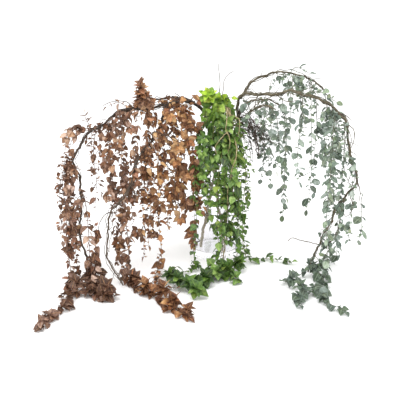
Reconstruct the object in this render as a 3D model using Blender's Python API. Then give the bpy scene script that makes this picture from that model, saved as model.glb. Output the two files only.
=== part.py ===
"""Three trailing eucalyptus stems, brown, green and grey, standing in one clear glass cylinder vase.

Metres, +Z up. The origin is the middle of the vase's foot, on the surface that it stands on, and the
front faces -Y. The wood arches out of the mouth, and leafy strands hang from it. The long strands reach
the surface and trail along it. Each leafy strand is one solid: a thin stem with its leaves fused to it.
"""

import math
import random
from collections import namedtuple

import bmesh
import bpy
from mathutils import Matrix, Vector
from mathutils.bvhtree import BVHTree
from mathutils.geometry import interpolate_bezier, intersect_point_line

Shoot = namedtuple("Shoot", "name thick thin step points")
Fall = namedtuple("Fall", "name shoot foot end trail")
Spray = namedtuple("Spray", "name shoot points")
Bark = namedtuple("Bark", "place along radius")
Node = namedtuple("Node", "place along side")
Leaf = namedtuple("Leaf", "node azimuth tilt roll length")
Finish = namedtuple("Finish", "colour roughness transmission")
Plant = namedtuple("Plant", "wood falls sprays leaf_width leaf bark seed")

UP = Vector((0, 0, 1))
GAP = 0.0003
MERGE = 0.00001
CURVE_STEPS = 12

VASE_RADIUS = 0.070
VASE_HEIGHT = 0.350
VASE_WALL = 0.004
VASE_FLOOR = 0.020
VASE_ROUND = 0.006
VASE_LIP = 0.002
VASE_SIDES = 32

WOOD_STEP = 0.045
TWIG_STEP = 0.032
STEM_STEP = 0.050
STEM_THICK = 0.0014
STEM_THIN = 0.0010
STUB = 0.008
LIE_HEIGHT = 0.010
CLEARANCE = 0.0012
GOLDEN_ANGLE = math.radians(137.5)

# A hanging strand leaves the bark a little downwards and arches over: the share of its reach, the rise for
# each metre of it, and the share of the drop there. Then it hangs, and sways a little on its way down.
LEAVE_DROP = 0.012
ARCH_REACH = 0.62
ARCH_RISE = 0.15
ARCH_DROP = 0.12
KNEE_DROP = 0.36
HANG_DROP = 0.68
SWAY = 0.006

LEAF_LENGTH = 0.029
LEAF_THICKNESS = 0.00078
LEAF_ROOT = 0.012
LEAF_WIDEST = 0.38
LEAF_TAPERS = 0.72
LEAF_TAPER = 0.68
LEAF_DROOP = 0.12
LEAF_SPACING = 0.042
LEAF_TILT = (math.radians(46), math.radians(68))
LEAF_ROLL = math.radians(38)
LEAF_STRAY = math.radians(14)
LEAF_SIZES = (0.85, 1.15)
LIE_FLAT = 0.7
TIP_TILT = math.radians(24)
TIP_SIZE = 0.75
TIP_INSET = 0.002

# No other leaf or stem comes inside a leaf's guard, which is thicker, starts further out and reaches further.
GUARD_THICKNESS = 0.0028
GUARD_ROOT = 0.12
GUARD_REACH = 1.05
FLOOR_CLEAR = 0.0006

# The trunks stand on the vase's floor.
SEAT = VASE_FLOOR + GAP
FOOT_TOP = SEAT + 0.012

# Wood: name, radius at the start and at the end, spacing of the rings, and the route. The first shoot is
# the trunk, and each of the others starts on the shoot before it that lies nearest.
BROWN_WOOD = (
    Shoot("trunk", 0.0048, 0.0016, WOOD_STEP, (
        (0.030, 0.030, SEAT), (0.030, 0.030, FOOT_TOP), (0.010, 0.024, 0.160), (-0.018, 0.012, 0.350),
        (-0.028, 0.008, 0.420), (-0.050, 0.000, 0.455), (-0.105, -0.030, 0.474), (-0.193, -0.075, 0.460),
        (-0.263, -0.105, 0.462), (-0.312, -0.125, 0.428), (-0.341, -0.140, 0.413), (-0.367, -0.155, 0.385),
        (-0.386, -0.170, 0.349), (-0.386, -0.178, 0.317), (-0.373, -0.185, 0.282), (-0.372, -0.200, 0.212),
        (-0.373, -0.215, 0.127), (-0.352, -0.225, 0.060), (-0.334, -0.235, 0.012))),
    Shoot("front_fork", 0.0036, 0.0013, WOOD_STEP, (
        (-0.145, -0.052, 0.468), (-0.149, -0.070, 0.433), (-0.177, -0.100, 0.382), (-0.204, -0.125, 0.349),
        (-0.225, -0.150, 0.315), (-0.238, -0.170, 0.269), (-0.259, -0.190, 0.232), (-0.286, -0.205, 0.202),
        (-0.297, -0.220, 0.167), (-0.300, -0.240, 0.101), (-0.285, -0.260, 0.055), (-0.255, -0.272, 0.010))),
    Shoot("back_fork", 0.0034, 0.0014, WOOD_STEP, (
        (-0.048, 0.001, 0.453), (-0.089, 0.060, 0.462), (-0.150, 0.100, 0.458), (-0.212, 0.120, 0.438),
        (-0.265, 0.130, 0.405))),
    Shoot("looped_twig", 0.0014, 0.0009, TWIG_STEP, (
        (-0.286, -0.205, 0.202), (-0.310, -0.220, 0.190), (-0.320, -0.232, 0.168), (-0.319, -0.245, 0.140))),
    Shoot("bowed_twig", 0.0013, 0.0008, TWIG_STEP, (
        (-0.238, -0.170, 0.269), (-0.222, -0.182, 0.240), (-0.236, -0.188, 0.205))),
    Shoot("left_twig", 0.0014, 0.0008, TWIG_STEP, (
        (-0.228, -0.090, 0.462), (-0.249, -0.100, 0.485), (-0.280, -0.112, 0.488), (-0.312, -0.122, 0.478))),
    Shoot("top_twig", 0.0014, 0.0008, TWIG_STEP, (
        (-0.095, -0.024, 0.474), (-0.106, -0.030, 0.490), (-0.118, -0.032, 0.497))),
)
GREEN_WOOD = (
    Shoot("trunk", 0.0045, 0.0022, WOOD_STEP, (
        (-0.042, -0.006, SEAT), (-0.042, -0.006, FOOT_TOP), (-0.015, -0.010, 0.177), (0.008, -0.018, 0.325),
        (0.016, -0.020, 0.386), (0.016, -0.020, 0.446), (0.006, -0.024, 0.482))),
    Shoot("front_vine", 0.0026, 0.0012, WOOD_STEP, (
        (0.016, -0.020, 0.446), (0.032, -0.050, 0.458), (0.042, -0.088, 0.416), (0.037, -0.104, 0.340),
        (0.046, -0.112, 0.233), (0.032, -0.118, 0.160), (0.030, -0.124, 0.085), (0.022, -0.134, 0.022))),
    Shoot("back_vine", 0.0026, 0.0012, WOOD_STEP, (
        (0.016, -0.020, 0.430), (0.022, 0.030, 0.448), (0.020, 0.080, 0.420), (0.014, 0.096, 0.350),
        (0.018, 0.104, 0.250))),
    Shoot("tall_twig", 0.0013, 0.0007, TWIG_STEP, (
        (0.010, -0.023, 0.476), (0.012, -0.012, 0.515), (0.007, -0.010, 0.576))),
    Shoot("curved_twig", 0.0013, 0.0007, TWIG_STEP, (
        (0.013, -0.021, 0.462), (0.022, -0.010, 0.505), (0.026, 0.000, 0.534), (0.052, 0.010, 0.553))),
)
GREY_WOOD = (
    Shoot("trunk", 0.0048, 0.0018, WOOD_STEP, (
        (0.020, -0.034, SEAT), (0.020, -0.034, FOOT_TOP), (0.042, -0.014, 0.200), (0.0605, 0.000, 0.350),
        (0.068, 0.000, 0.394), (0.065, 0.000, 0.441), (0.075, -0.002, 0.482), (0.098, -0.015, 0.492),
        (0.136, -0.035, 0.493), (0.174, -0.055, 0.498), (0.203, -0.070, 0.512), (0.235, -0.085, 0.504),
        (0.277, -0.100, 0.495), (0.310, -0.110, 0.481), (0.335, -0.120, 0.458), (0.355, -0.130, 0.435),
        (0.362, -0.140, 0.389), (0.368, -0.150, 0.347), (0.382, -0.160, 0.309), (0.389, -0.165, 0.271),
        (0.361, -0.165, 0.236), (0.335, -0.165, 0.195), (0.312, -0.170, 0.140), (0.293, -0.180, 0.096),
        (0.273, -0.182, 0.050), (0.262, -0.184, 0.012))),
    Shoot("top_arch", 0.0034, 0.0014, WOOD_STEP, (
        (0.072, 0.000, 0.476), (0.109, 0.030, 0.518), (0.160, 0.060, 0.536), (0.204, 0.085, 0.537),
        (0.256, 0.100, 0.524), (0.300, 0.110, 0.504), (0.332, 0.112, 0.474))),
    Shoot("low_fork", 0.0032, 0.0014, WOOD_STEP, (
        (0.068, 0.000, 0.392), (0.084, -0.022, 0.419), (0.105, -0.050, 0.452), (0.133, -0.080, 0.466),
        (0.166, -0.092, 0.462))),
    Shoot("back_arch", 0.0030, 0.0013, WOOD_STEP, (
        (0.066, 0.000, 0.420), (0.090, 0.045, 0.450), (0.130, 0.090, 0.456), (0.180, 0.125, 0.440),
        (0.225, 0.150, 0.405))),
    Shoot("forked_end", 0.0016, 0.0010, TWIG_STEP, (
        (0.389, -0.165, 0.272), (0.400, -0.162, 0.246), (0.400, -0.160, 0.217))),
    Shoot("side_twig", 0.0015, 0.0009, TWIG_STEP, (
        (0.368, -0.150, 0.345), (0.378, -0.140, 0.300), (0.368, -0.136, 0.262))),
    Shoot("corner_twig", 0.0014, 0.0008, TWIG_STEP, (
        (0.336, -0.120, 0.457), (0.354, -0.128, 0.452), (0.370, -0.134, 0.438))),
    Shoot("low_twig", 0.0018, 0.0010, TWIG_STEP, (
        (0.361, -0.165, 0.236), (0.352, -0.156, 0.190), (0.346, -0.158, 0.140), (0.324, -0.178, 0.106),
        (0.291, -0.196, 0.101), (0.249, -0.212, 0.116), (0.208, -0.225, 0.130), (0.196, -0.230, 0.124))),
)

# Fine bare twigs fan out of the grey trunk to the right, above the mouth, and droop.
FINE_TWIGS = 8
FINE_TWIG_RADII = (0.0012, 0.0008)
FINE_TWIG_START = 0.066
FINE_TWIG_HEIGHTS = (0.372, 0.436)
FINE_TWIG_REACH = (0.045, 0.080)
FINE_TWIG_RISE = 0.008
FINE_TWIG_DROP = (0.045, 0.120)
FINE_TWIG_SPREAD = math.radians(38)

# Hanging strands: name, shoot, foot in plan, height of the end, and the places that a long one trails over.
BROWN_FALLS = (
    Fall("brown_strand_01", "trunk", (-0.420, -0.200), 0.150, ()),
    Fall("brown_strand_02", "trunk", (-0.402, -0.250), 0.030,
         ((-0.388, -0.330), (-0.408, -0.440), (-0.435, -0.520))),
    Fall("brown_strand_03", "trunk", (-0.345, -0.262), 0.030, ((-0.318, -0.340), (-0.272, -0.345))),
    Fall("brown_strand_04", "trunk", (-0.348, -0.075), 0.157, ()),
    Fall("brown_strand_05", "back_fork", (-0.310, 0.060), 0.240, ()),
    Fall("brown_strand_06", "trunk", (-0.290, -0.170), 0.190, ()),
    Fall("brown_strand_07", "trunk", (-0.270, -0.050), 0.175, ()),
    Fall("brown_strand_08", "back_fork", (-0.238, 0.060), 0.250, ()),
    Fall("brown_strand_09", "front_fork", (-0.246, -0.226), 0.030,
         ((-0.218, -0.285), (-0.140, -0.374), (-0.072, -0.468))),
    Fall("brown_strand_10", "trunk", (-0.158, -0.152), 0.030,
         ((-0.172, -0.205), (-0.150, -0.265), (-0.108, -0.290))),
    Fall("brown_strand_11", "back_fork", (-0.205, 0.165), 0.120, ()),
    Fall("brown_strand_12", "trunk", (-0.142, 0.000), 0.089, ()),
    Fall("brown_strand_13", "trunk", (-0.106, -0.086), 0.144, ()),
    Fall("brown_strand_14", "trunk", (-0.064, -0.120), 0.066, ()),
    Fall("brown_strand_15", "back_fork", (-0.100, 0.110), 0.110, ()),
    Fall("brown_strand_16", "looped_twig", (-0.330, -0.262), 0.030, ((-0.318, -0.285),)),
)
GREEN_FALLS = (
    Fall("green_strand_01", "trunk", (-0.045, -0.092), 0.240, ()),
    Fall("green_strand_02", "trunk", (-0.012, -0.122), 0.120, ()),
    Fall("green_strand_03", "front_vine", (0.004, -0.160), 0.030, ((-0.020, -0.200), (-0.050, -0.282))),
    Fall("green_strand_04", "front_vine", (0.060, -0.150), 0.030, ((0.030, -0.185), (0.052, -0.240))),
    Fall("green_strand_05", "front_vine", (0.084, -0.098), 0.030,
         ((0.120, -0.075), (0.179, -0.080), (0.226, -0.105))),
    Fall("green_strand_06", "trunk", (-0.060, -0.135), 0.030,
         ((-0.074, -0.160), (-0.098, -0.180), (-0.132, -0.188))),
    Fall("green_strand_07", "back_vine", (0.050, 0.130), 0.110, ()),
    Fall("green_strand_08", "back_vine", (-0.022, 0.125), 0.060, ()),
)
GREY_FALLS = (
    Fall("grey_strand_01", "low_fork", (0.172, -0.118), 0.290, ()),
    Fall("grey_strand_02", "low_fork", (0.158, -0.050), 0.235, ()),
    Fall("grey_strand_03", "trunk", (0.202, -0.020), 0.124, ()),
    Fall("grey_strand_04", "top_arch", (0.222, 0.060), 0.360, ()),
    Fall("grey_strand_05", "trunk", (0.232, -0.128), 0.262, ()),
    Fall("grey_strand_06", "top_arch", (0.290, 0.075), 0.110, ()),
    Fall("grey_strand_07", "trunk", (0.286, -0.058), 0.210, ()),
    Fall("grey_strand_08", "top_arch", (0.338, 0.100), 0.290, ()),
    Fall("grey_strand_09", "trunk", (0.314, -0.150), 0.190, ()),
    Fall("grey_strand_10", "trunk", (0.345, -0.072), 0.245, ()),
    Fall("grey_strand_11", "forked_end", (0.406, -0.166), 0.100, ()),
    Fall("grey_strand_12", "low_twig", (0.352, -0.114), 0.030, ((0.340, -0.095), (0.322, -0.060))),
    Fall("grey_strand_13", "trunk", (0.306, -0.215), 0.030,
         ((0.262, -0.300), (0.214, -0.352), (0.212, -0.398))),
    Fall("grey_strand_14", "back_arch", (0.150, 0.140), 0.190, ()),
    Fall("grey_strand_15", "back_arch", (0.228, 0.172), 0.120, ()),
)

# Sprays: short leafy shoots that stand up from the wood or lie along the surface.
BROWN_SPRAYS = (
    Spray("brown_tuft", "trunk", (
        (-0.206, -0.084, 0.480), (-0.205, -0.088, 0.508), (-0.209, -0.092, 0.536))),
    Spray("brown_sprig", "trunk", (
        (-0.350, -0.136, 0.424), (-0.356, -0.130, 0.440), (-0.364, -0.126, 0.458))),
    Spray("brown_crown_left", "trunk", (
        (-0.250, -0.098, 0.474), (-0.268, -0.116, 0.486), (-0.300, -0.124, 0.476))),
    Spray("brown_crown_middle", "trunk", (
        (-0.160, -0.058, 0.476), (-0.140, -0.072, 0.492), (-0.100, -0.078, 0.490))),
    Spray("brown_crown_right", "trunk", (
        (-0.070, -0.010, 0.474), (-0.062, -0.034, 0.492), (-0.052, -0.068, 0.482))),
)
GREEN_SPRAYS = (
    Spray("green_left_tuft", "trunk", (
        (-0.004, -0.028, 0.488), (-0.018, -0.032, 0.496), (-0.036, -0.034, 0.494))),
    Spray("green_right_tuft", "trunk", (
        (0.012, -0.036, 0.474), (0.026, -0.046, 0.486), (0.044, -0.052, 0.488))),
)
GREY_SPRAYS = (
    Spray("grey_left_trail", "trunk", (
        (0.256, -0.190, 0.014), (0.232, -0.206, LIE_HEIGHT), (0.186, -0.244, LIE_HEIGHT))),
    Spray("grey_right_trail", "trunk", (
        (0.270, -0.192, 0.016), (0.296, -0.270, LIE_HEIGHT), (0.280, -0.360, LIE_HEIGHT),
        (0.326, -0.432, LIE_HEIGHT))),
    Spray("grey_sprig", "trunk", ((0.082, -0.010, 0.470), (0.092, -0.034, 0.462), (0.098, -0.050, 0.444))),
    Spray("grey_crown_back", "top_arch", (
        (0.215, 0.088, 0.545), (0.240, 0.080, 0.552), (0.280, 0.082, 0.534))),
    Spray("grey_crown_front", "trunk", (
        (0.262, -0.096, 0.506), (0.290, -0.110, 0.512), (0.328, -0.124, 0.488))),
)

PLANTS = {
    "brown": Plant(BROWN_WOOD, BROWN_FALLS, BROWN_SPRAYS, 0.020,
                   Finish((0.26, 0.11, 0.045), 0.6, 0.0), Finish((0.050, 0.032, 0.024), 0.85, 0.0), 11),
    "green": Plant(GREEN_WOOD, GREEN_FALLS, GREEN_SPRAYS, 0.021,
                   Finish((0.055, 0.16, 0.025), 0.5, 0.0), Finish((0.26, 0.19, 0.11), 0.8, 0.0), 23),
    "grey": Plant(GREY_WOOD, GREY_FALLS, GREY_SPRAYS, 0.020,
                  Finish((0.17, 0.27, 0.20), 0.6, 0.0), Finish((0.16, 0.11, 0.075), 0.85, 0.0), 37),
}
GLASS = Finish((0.95, 0.97, 0.98), 0.02, 1.0)

# A strand starts on the straight runs of the bark nearest to its foot, where height counts a little too.
# One whose way is barred starts at the next place or moves its foot, and a leaf turns about its stem.
RUN_SHARES = (0.25, 0.5, 0.75)
TUBE_FACE = 0.96
HEIGHT_COUNTS = 0.25
BARKS_TRIED = 6
MOVES_TRIED = 25
MOVE_STEP = 0.004
LEAF_TURNS = [math.radians(angle) for angle in (0, 25, -25, 50, -50, 75, -75)]


def clear_scene():
    for thing in list(bpy.data.objects):
        bpy.data.objects.remove(thing, do_unlink=True)


def add_object(name, shape):
    made = bpy.data.objects.new(name, shape)
    bpy.context.scene.collection.objects.link(made)
    return made


def paint(thing, name, finish):
    material = bpy.data.materials.get(name) or bpy.data.materials.new(name)
    material.use_nodes = True
    shader = material.node_tree.nodes["Principled BSDF"]
    shader.inputs["Base Color"].default_value = (*finish.colour, 1.0)
    shader.inputs["Roughness"].default_value = finish.roughness
    shader.inputs["Metallic"].default_value = 0.0
    shader.inputs["Transmission Weight"].default_value = finish.transmission
    thing.data.materials.clear()
    thing.data.materials.append(material)


def evaluated_mesh(thing):
    bpy.context.view_layer.update()
    graph = bpy.context.evaluated_depsgraph_get()
    return bpy.data.meshes.new_from_object(thing.evaluated_get(graph))


def level(heading):
    """The level direction of a heading."""
    return Vector((math.cos(heading), math.sin(heading), 0))


def spaced(line, step):
    """Points at even distances of about a step along a line of points."""
    lengths = [0.0]
    for a, b in zip(line, line[1:]):
        lengths.append(lengths[-1] + (b - a).length)
    count = max(2, round(lengths[-1] / step))
    points, i = [line[0]], 0
    for n in range(1, count):
        wanted = lengths[-1] * n / count
        while lengths[i + 1] < wanted:
            i += 1
        points.append(line[i].lerp(line[i + 1], (wanted - lengths[i]) / (lengths[i + 1] - lengths[i])))
    return points + [line[-1]]


def curve_through(points, step):
    """Points about a step apart on one smooth curve through the given points."""
    knots = [Vector(p) for p in points]
    last = len(knots) - 1
    slopes = [(knots[min(i + 1, last)] - knots[max(i - 1, 0)]).normalized() for i in range(last + 1)]
    line = [knots[0]]
    for a, b, leave, reach in zip(knots, knots[1:], slopes, slopes[1:]):
        pull = (b - a).length / 3
        line += interpolate_bezier(a, a + leave * pull, b - reach * pull, b, CURVE_STEPS)[1:]
    return spaced(line, step)


def stubbed(points, step):
    """A curve whose first run stays straight, so that its cut end lies square to it."""
    return [Vector(points[0])] + curve_through(points[1:], step)


def tube_mesh(name, route, thick, thin, rounding):
    """A tapered tube with closed ends, from a curve with a bevel: 4 sides, or 6 for a rounding of 1."""
    curve = bpy.data.curves.new(name, "CURVE")
    curve.dimensions = "3D"
    curve.bevel_depth = thick
    curve.bevel_resolution = rounding
    curve.use_fill_caps = True
    line = curve.splines.new("POLY")
    line.points.add(len(route) - 1)
    for i, (point, place) in enumerate(zip(line.points, route)):
        point.co = (*place, 1.0)
        point.radius = 1 + (thin / thick - 1) * i / (len(route) - 1)
    holder = add_object(name, curve)
    mesh = evaluated_mesh(holder)
    bpy.data.objects.remove(holder)
    work = bmesh.new()
    work.from_mesh(mesh)
    bmesh.ops.remove_doubles(work, verts=work.verts, dist=MERGE)
    bmesh.ops.recalc_face_normals(work, faces=work.faces)
    work.to_mesh(mesh)
    work.free()
    return mesh


def fuse(base, parts):
    """Joins the parts to the base in one closed solid, and removes them."""
    group = bpy.data.collections.new(base.name + "_parts")
    bpy.context.scene.collection.children.link(group)
    for part in parts:
        bpy.context.scene.collection.objects.unlink(part)
        group.objects.link(part)
    join = base.modifiers.new("join", "BOOLEAN")
    join.operation = "UNION"
    join.operand_type = "COLLECTION"
    join.collection = group
    join.solver = "EXACT"
    bpy.context.view_layer.objects.active = base
    bpy.ops.object.modifier_apply(modifier=join.name)
    for part in list(group.objects):
        bpy.data.objects.remove(part, do_unlink=True)
    bpy.data.collections.remove(group)


def tree_of(mesh):
    return BVHTree.FromPolygons([v.co for v in mesh.vertices], [list(p.vertices) for p in mesh.polygons])


def nearest_on(routes, point):
    """The point nearest to the given one on any run of the routes."""
    spots = []
    for route in routes:
        for a, b in zip(route, route[1:]):
            share = intersect_point_line(point, a, b)[1]
            spots.append(a.lerp(b, min(max(share, 0), 1)))
    return min(spots, key=lambda spot: (spot - point).length)


def fine_twigs(seed):
    draw = random.Random(seed)
    low, high = FINE_TWIG_HEIGHTS
    twigs = []
    for i in range(FINE_TWIGS):
        out = level(draw.uniform(-FINE_TWIG_SPREAD, FINE_TWIG_SPREAD)) * draw.uniform(*FINE_TWIG_REACH)
        drop = UP * draw.uniform(*FINE_TWIG_DROP)
        start = Vector((FINE_TWIG_START, 0.0, low + (high - low) * i / (FINE_TWIGS - 1)))
        points = (start, start + out * 0.35 + UP * FINE_TWIG_RISE, start + out * 0.85 - drop * 0.4,
                  start + out - drop)
        twigs.append(Shoot(f"fine_twig_{i}", *FINE_TWIG_RADII, TWIG_STEP, points))
    return twigs


def make_wood(colour, plant):
    """One solid for a plant's wood: the trunk with its forks and twigs fused to it. Gives their routes too."""
    shoots = plant.wood + tuple(fine_twigs(plant.seed) if colour == "grey" else ())
    routes, tubes = {}, []
    for shoot in shoots:
        points = [Vector(p) for p in shoot.points]
        if routes:
            points[0] = nearest_on(routes.values(), points[0])
            routes[shoot.name] = curve_through(points, shoot.step)
        else:
            routes[shoot.name] = stubbed(points, shoot.step)
        rounding = 1 if shoot.step == WOOD_STEP else 0
        mesh = tube_mesh(f"{colour}_{shoot.name}", routes[shoot.name], shoot.thick, shoot.thin, rounding)
        tubes.append(add_object(mesh.name, mesh))
    wood = tubes[0]
    wood.name = f"{colour}_wood"
    fuse(wood, tubes[1:])
    paint(wood, f"{colour}_bark", plant.bark)
    return wood, routes


def bark_places(shoot, route):
    """Places on the straight runs of a shoot, away from its bends."""
    runs = len(route) - 1
    for i, (a, b) in enumerate(zip(route, route[1:])):
        for share in RUN_SHARES:
            radius = shoot.thick + (shoot.thin - shoot.thick) * (i + share) / runs
            yield Bark(a.lerp(b, share), (b - a).normalized(), radius)


def leave_bark(bark, towards):
    """The start of a strand: just clear of the bark, square to the wood, on the side that faces its way."""
    out = (towards - bark.along * towards.dot(bark.along)).normalized()
    start = bark.place + out * (bark.radius * TUBE_FACE + GAP)
    return start, start + out * STUB


def fall_points(fall, bark, move, heading):
    """A strand leaves the wood, arches over, hangs to its end, and trails along the surface if it is long."""
    foot = Vector((*fall.foot, 0)) + move
    start, stub = leave_bark(bark, Vector((foot.x - bark.place.x, foot.y - bark.place.y, -LEAVE_DROP)))
    across = Vector((foot.x - start.x, foot.y - start.y, 0))
    sway = level(heading) * SWAY
    drop = UP * (start.z - fall.end)
    points = [start, stub,
              start + across * ARCH_REACH + UP * ARCH_RISE * across.length - drop * ARCH_DROP,
              start + across - drop * KNEE_DROP,
              start + across + sway - drop * HANG_DROP,
              start + across - sway * 0.5 - drop]
    return points + [Vector((x, y, LIE_HEIGHT)) for x, y in fall.trail]


def spray_points(spray, bark, move):
    start, stub = leave_bark(bark, Vector(spray.points[0]) - bark.place)
    return [start, stub] + [Vector(p) + move for p in spray.points[1:]]


def ways_of(strand, barks, heading):
    """A strand's ways, the wanted one first, then those from the bark near by and to a foot near by."""
    if isinstance(strand, Fall):
        foot = Vector(strand.foot)
        near = sorted(barks, key=lambda bark: (bark.place.xy - foot).length - HEIGHT_COUNTS * bark.place.z)
    else:
        first = Vector(strand.points[0])
        near = sorted(barks, key=lambda bark: (bark.place - first).length)
    for i in range(MOVES_TRIED):
        move = level(i * GOLDEN_ANGLE) * MOVE_STEP * math.sqrt(i)
        for bark in near[:BARKS_TRIED]:
            if isinstance(strand, Fall):
                yield fall_points(strand, bark, move, heading)
            else:
                yield spray_points(strand, bark, move)


def touches(mesh, obstacles):
    tree = tree_of(mesh)
    return any(tree.overlap(other) for other in obstacles)


def clear_stem(name, ways, obstacles):
    """The first stem, with its route, that touches nothing, and nothing comes near it past its stub."""
    for points in ways:
        route = stubbed(points, STEM_STEP)
        stem = tube_mesh(name, route, STEM_THICK, STEM_THIN, 0)
        roomy = tube_mesh(name, route[1:], STEM_THICK + CLEARANCE, STEM_THIN + CLEARANCE, 0)
        if not touches(stem, obstacles) and not touches(roomy, obstacles):
            return stem, route
    raise ValueError(f"{name} has no clear way")


def make_stems(plant, routes, obstacles):
    """The bare stems of a plant's strands, each with its route."""
    shoots = {shoot.name: shoot for shoot in plant.wood}
    stems = []
    for i, strand in enumerate(plant.falls + plant.sprays):
        barks = list(bark_places(shoots[strand.shoot], routes[strand.shoot]))
        mesh, route = clear_stem(strand.name, ways_of(strand, barks, i * GOLDEN_ANGLE), obstacles)
        obstacles.append(tree_of(mesh))
        stems.append((add_object(strand.name, mesh), route))
    return stems


def blade(width, thickness, root, grow):
    """A leaf one unit long, from its root to its tip: a pointed blade that droops past its widest place."""
    half = width / 2 * grow
    waist = half * LEAF_TAPER
    sag = -LEAF_DROOP / 4
    outline = [(root, 0, 0), (LEAF_WIDEST, half, 0), (LEAF_TAPERS, waist, sag), (grow, 0, -LEAF_DROOP),
               (LEAF_TAPERS, -waist, sag), (LEAF_WIDEST, -half, 0)]
    work = bmesh.new()
    verts = [work.verts.new((x, y, z - thickness / 2)) for x, y, z in outline]
    for corners in ((0, 5, 1), (1, 5, 4), (1, 4, 2), (2, 4, 3)):
        work.faces.new([verts[i] for i in corners])
    raised = bmesh.ops.extrude_face_region(work, geom=work.faces[:])
    top = [piece for piece in raised["geom"] if isinstance(piece, bmesh.types.BMVert)]
    bmesh.ops.translate(work, verts=top, vec=(0, 0, thickness))
    bmesh.ops.recalc_face_normals(work, faces=work.faces)
    work.verts.index_update()
    return work


def nodes_along(route):
    """Places where leaves grow, with the stem's direction there and a side that turns as little as can be."""
    places = spaced(route, LEAF_SPACING)[1:]
    places[-1] = places[-1] + (places[-2] - places[-1]).normalized() * TIP_INSET
    along = (places[0] - route[0]).normalized()
    side = along.orthogonal().normalized()
    nodes = []
    for i, place in enumerate(places):
        ahead = (places[min(i + 1, len(places) - 1)] - places[max(i - 1, 0)]).normalized()
        side = along.rotation_difference(ahead) @ side
        along = ahead
        nodes.append(Node(place, along, side))
    return nodes


def leaves_along(route, draw):
    """One leaf at each node, on alternate sides and then across them, and a small one at the tip."""
    nodes = nodes_along(route)
    start = draw.uniform(0, math.tau)
    for i, node in enumerate(nodes[:-1]):
        azimuth = start + (i % 2) * math.pi + (i // 2 % 2) * math.pi / 2 + draw.uniform(-LEAF_STRAY, LEAF_STRAY)
        length = LEAF_LENGTH * draw.uniform(*LEAF_SIZES)
        yield Leaf(node, azimuth, draw.uniform(*LEAF_TILT), draw.uniform(-LEAF_ROLL, LEAF_ROLL), length)
    yield Leaf(nodes[-1], start, TIP_TILT, 0.0, LEAF_LENGTH * TIP_SIZE)


def leaf_matrix(leaf, turn):
    """Stands a leaf on its node, turned round the stem, tilted away from it, and with its upper side up."""
    place, along, side = leaf.node
    radial = Matrix.Rotation(leaf.azimuth + turn, 3, along) @ side
    axis = (along * math.cos(leaf.tilt) + radial * math.sin(leaf.tilt)).normalized()
    face = along * math.sin(leaf.tilt) - radial * math.cos(leaf.tilt)
    face = -face if face.z < 0 else face
    if place.z < LEAF_LENGTH:
        face = face.lerp(UP - axis * axis.z, LIE_FLAT).normalized()
    across = Matrix.Rotation(leaf.roll, 3, axis) @ face.cross(axis).normalized()
    face = axis.cross(across)
    stand = Matrix((axis, across, face)).transposed().to_4x4()
    return Matrix.Translation(place) @ stand @ Matrix.Scale(leaf.length, 4)


def add_leaves(stem, route, plant, draw, obstacles):
    """Fuses leaves to a stem, each turned until it clears the surface, the other strands and its leaves."""
    width = plant.leaf_width / LEAF_LENGTH
    shape = blade(width, LEAF_THICKNESS / LEAF_LENGTH, LEAF_ROOT, 1.0)
    guard = blade(width, GUARD_THICKNESS / LEAF_LENGTH, GUARD_ROOT, GUARD_REACH)
    faces = [[v.index for v in face.verts] for face in guard.faces]
    others = [tree for name, tree in obstacles if name != stem.name]
    leaves = []
    for leaf in leaves_along(route, draw):
        for turn in LEAF_TURNS:
            stand = leaf_matrix(leaf, turn)
            if min((stand @ v.co).z for v in shape.verts) < FLOOR_CLEAR:
                continue
            tree = BVHTree.FromPolygons([stand @ v.co for v in guard.verts], faces)
            if any(tree.overlap(other) for other in others):
                continue
            mesh = bpy.data.meshes.new(f"{stem.name}_leaf")
            shape.to_mesh(mesh)
            mesh.transform(stand)
            leaves.append(add_object(mesh.name, mesh))
            obstacles.append((stem.name, tree))
            others.append(tree)
            break
    shape.free()
    guard.free()
    fuse(stem, leaves)


def make_vase():
    inner = VASE_RADIUS - VASE_WALL
    shoulder = VASE_HEIGHT - VASE_LIP
    profile = ((0, VASE_FLOOR), (inner - VASE_ROUND, VASE_FLOOR), (inner, VASE_FLOOR + VASE_ROUND),
               (inner, shoulder), (inner + VASE_WALL / 2, VASE_HEIGHT), (VASE_RADIUS, shoulder),
               (VASE_RADIUS, VASE_LIP), (VASE_RADIUS - VASE_LIP, 0), (0, 0))
    mesh = bpy.data.meshes.new("vase")
    mesh.from_pydata([(r, 0, z) for r, z in profile], [(i, i + 1) for i in range(len(profile) - 1)], [])
    vase = add_object("vase", mesh)
    turn = vase.modifiers.new("turn", "SCREW")
    turn.steps = turn.render_steps = VASE_SIDES
    turn.use_merge_vertices = True
    turn.merge_threshold = MERGE
    paint(vase, "clear_glass", GLASS)
    return vase


def main():
    clear_scene()
    solids = {"vase": evaluated_mesh(make_vase())}
    routes = {}
    for colour, plant in PLANTS.items():
        wood, routes[colour] = make_wood(colour, plant)
        solids[wood.name] = wood.data
    obstacles = [tree_of(mesh) for mesh in solids.values()]
    stems = {colour: make_stems(plant, routes[colour], obstacles) for colour, plant in PLANTS.items()}
    names = list(solids) + [stem.name for group in stems.values() for stem, route in group]
    named_obstacles = list(zip(names, obstacles))
    for colour, plant in PLANTS.items():
        draw = random.Random(plant.seed)
        for stem, route in stems[colour]:
            add_leaves(stem, route, plant, draw, named_obstacles)
            paint(stem, f"{colour}_leaf", plant.leaf)


main()
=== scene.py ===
"""Looks of three trailing eucalyptus stems, brown, green and grey, in a clear glass cylinder vase.

Metres, +Z up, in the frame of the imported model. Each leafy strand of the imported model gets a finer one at
the same place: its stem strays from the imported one's curve by a few millimetres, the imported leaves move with
it, and more pairs grow between them. The wood is grown along the same routes, with knots, side shoots and
fine bare twigs. Where a table gives places, they are points in metres.
"""

import math
import random
from collections import namedtuple

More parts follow.
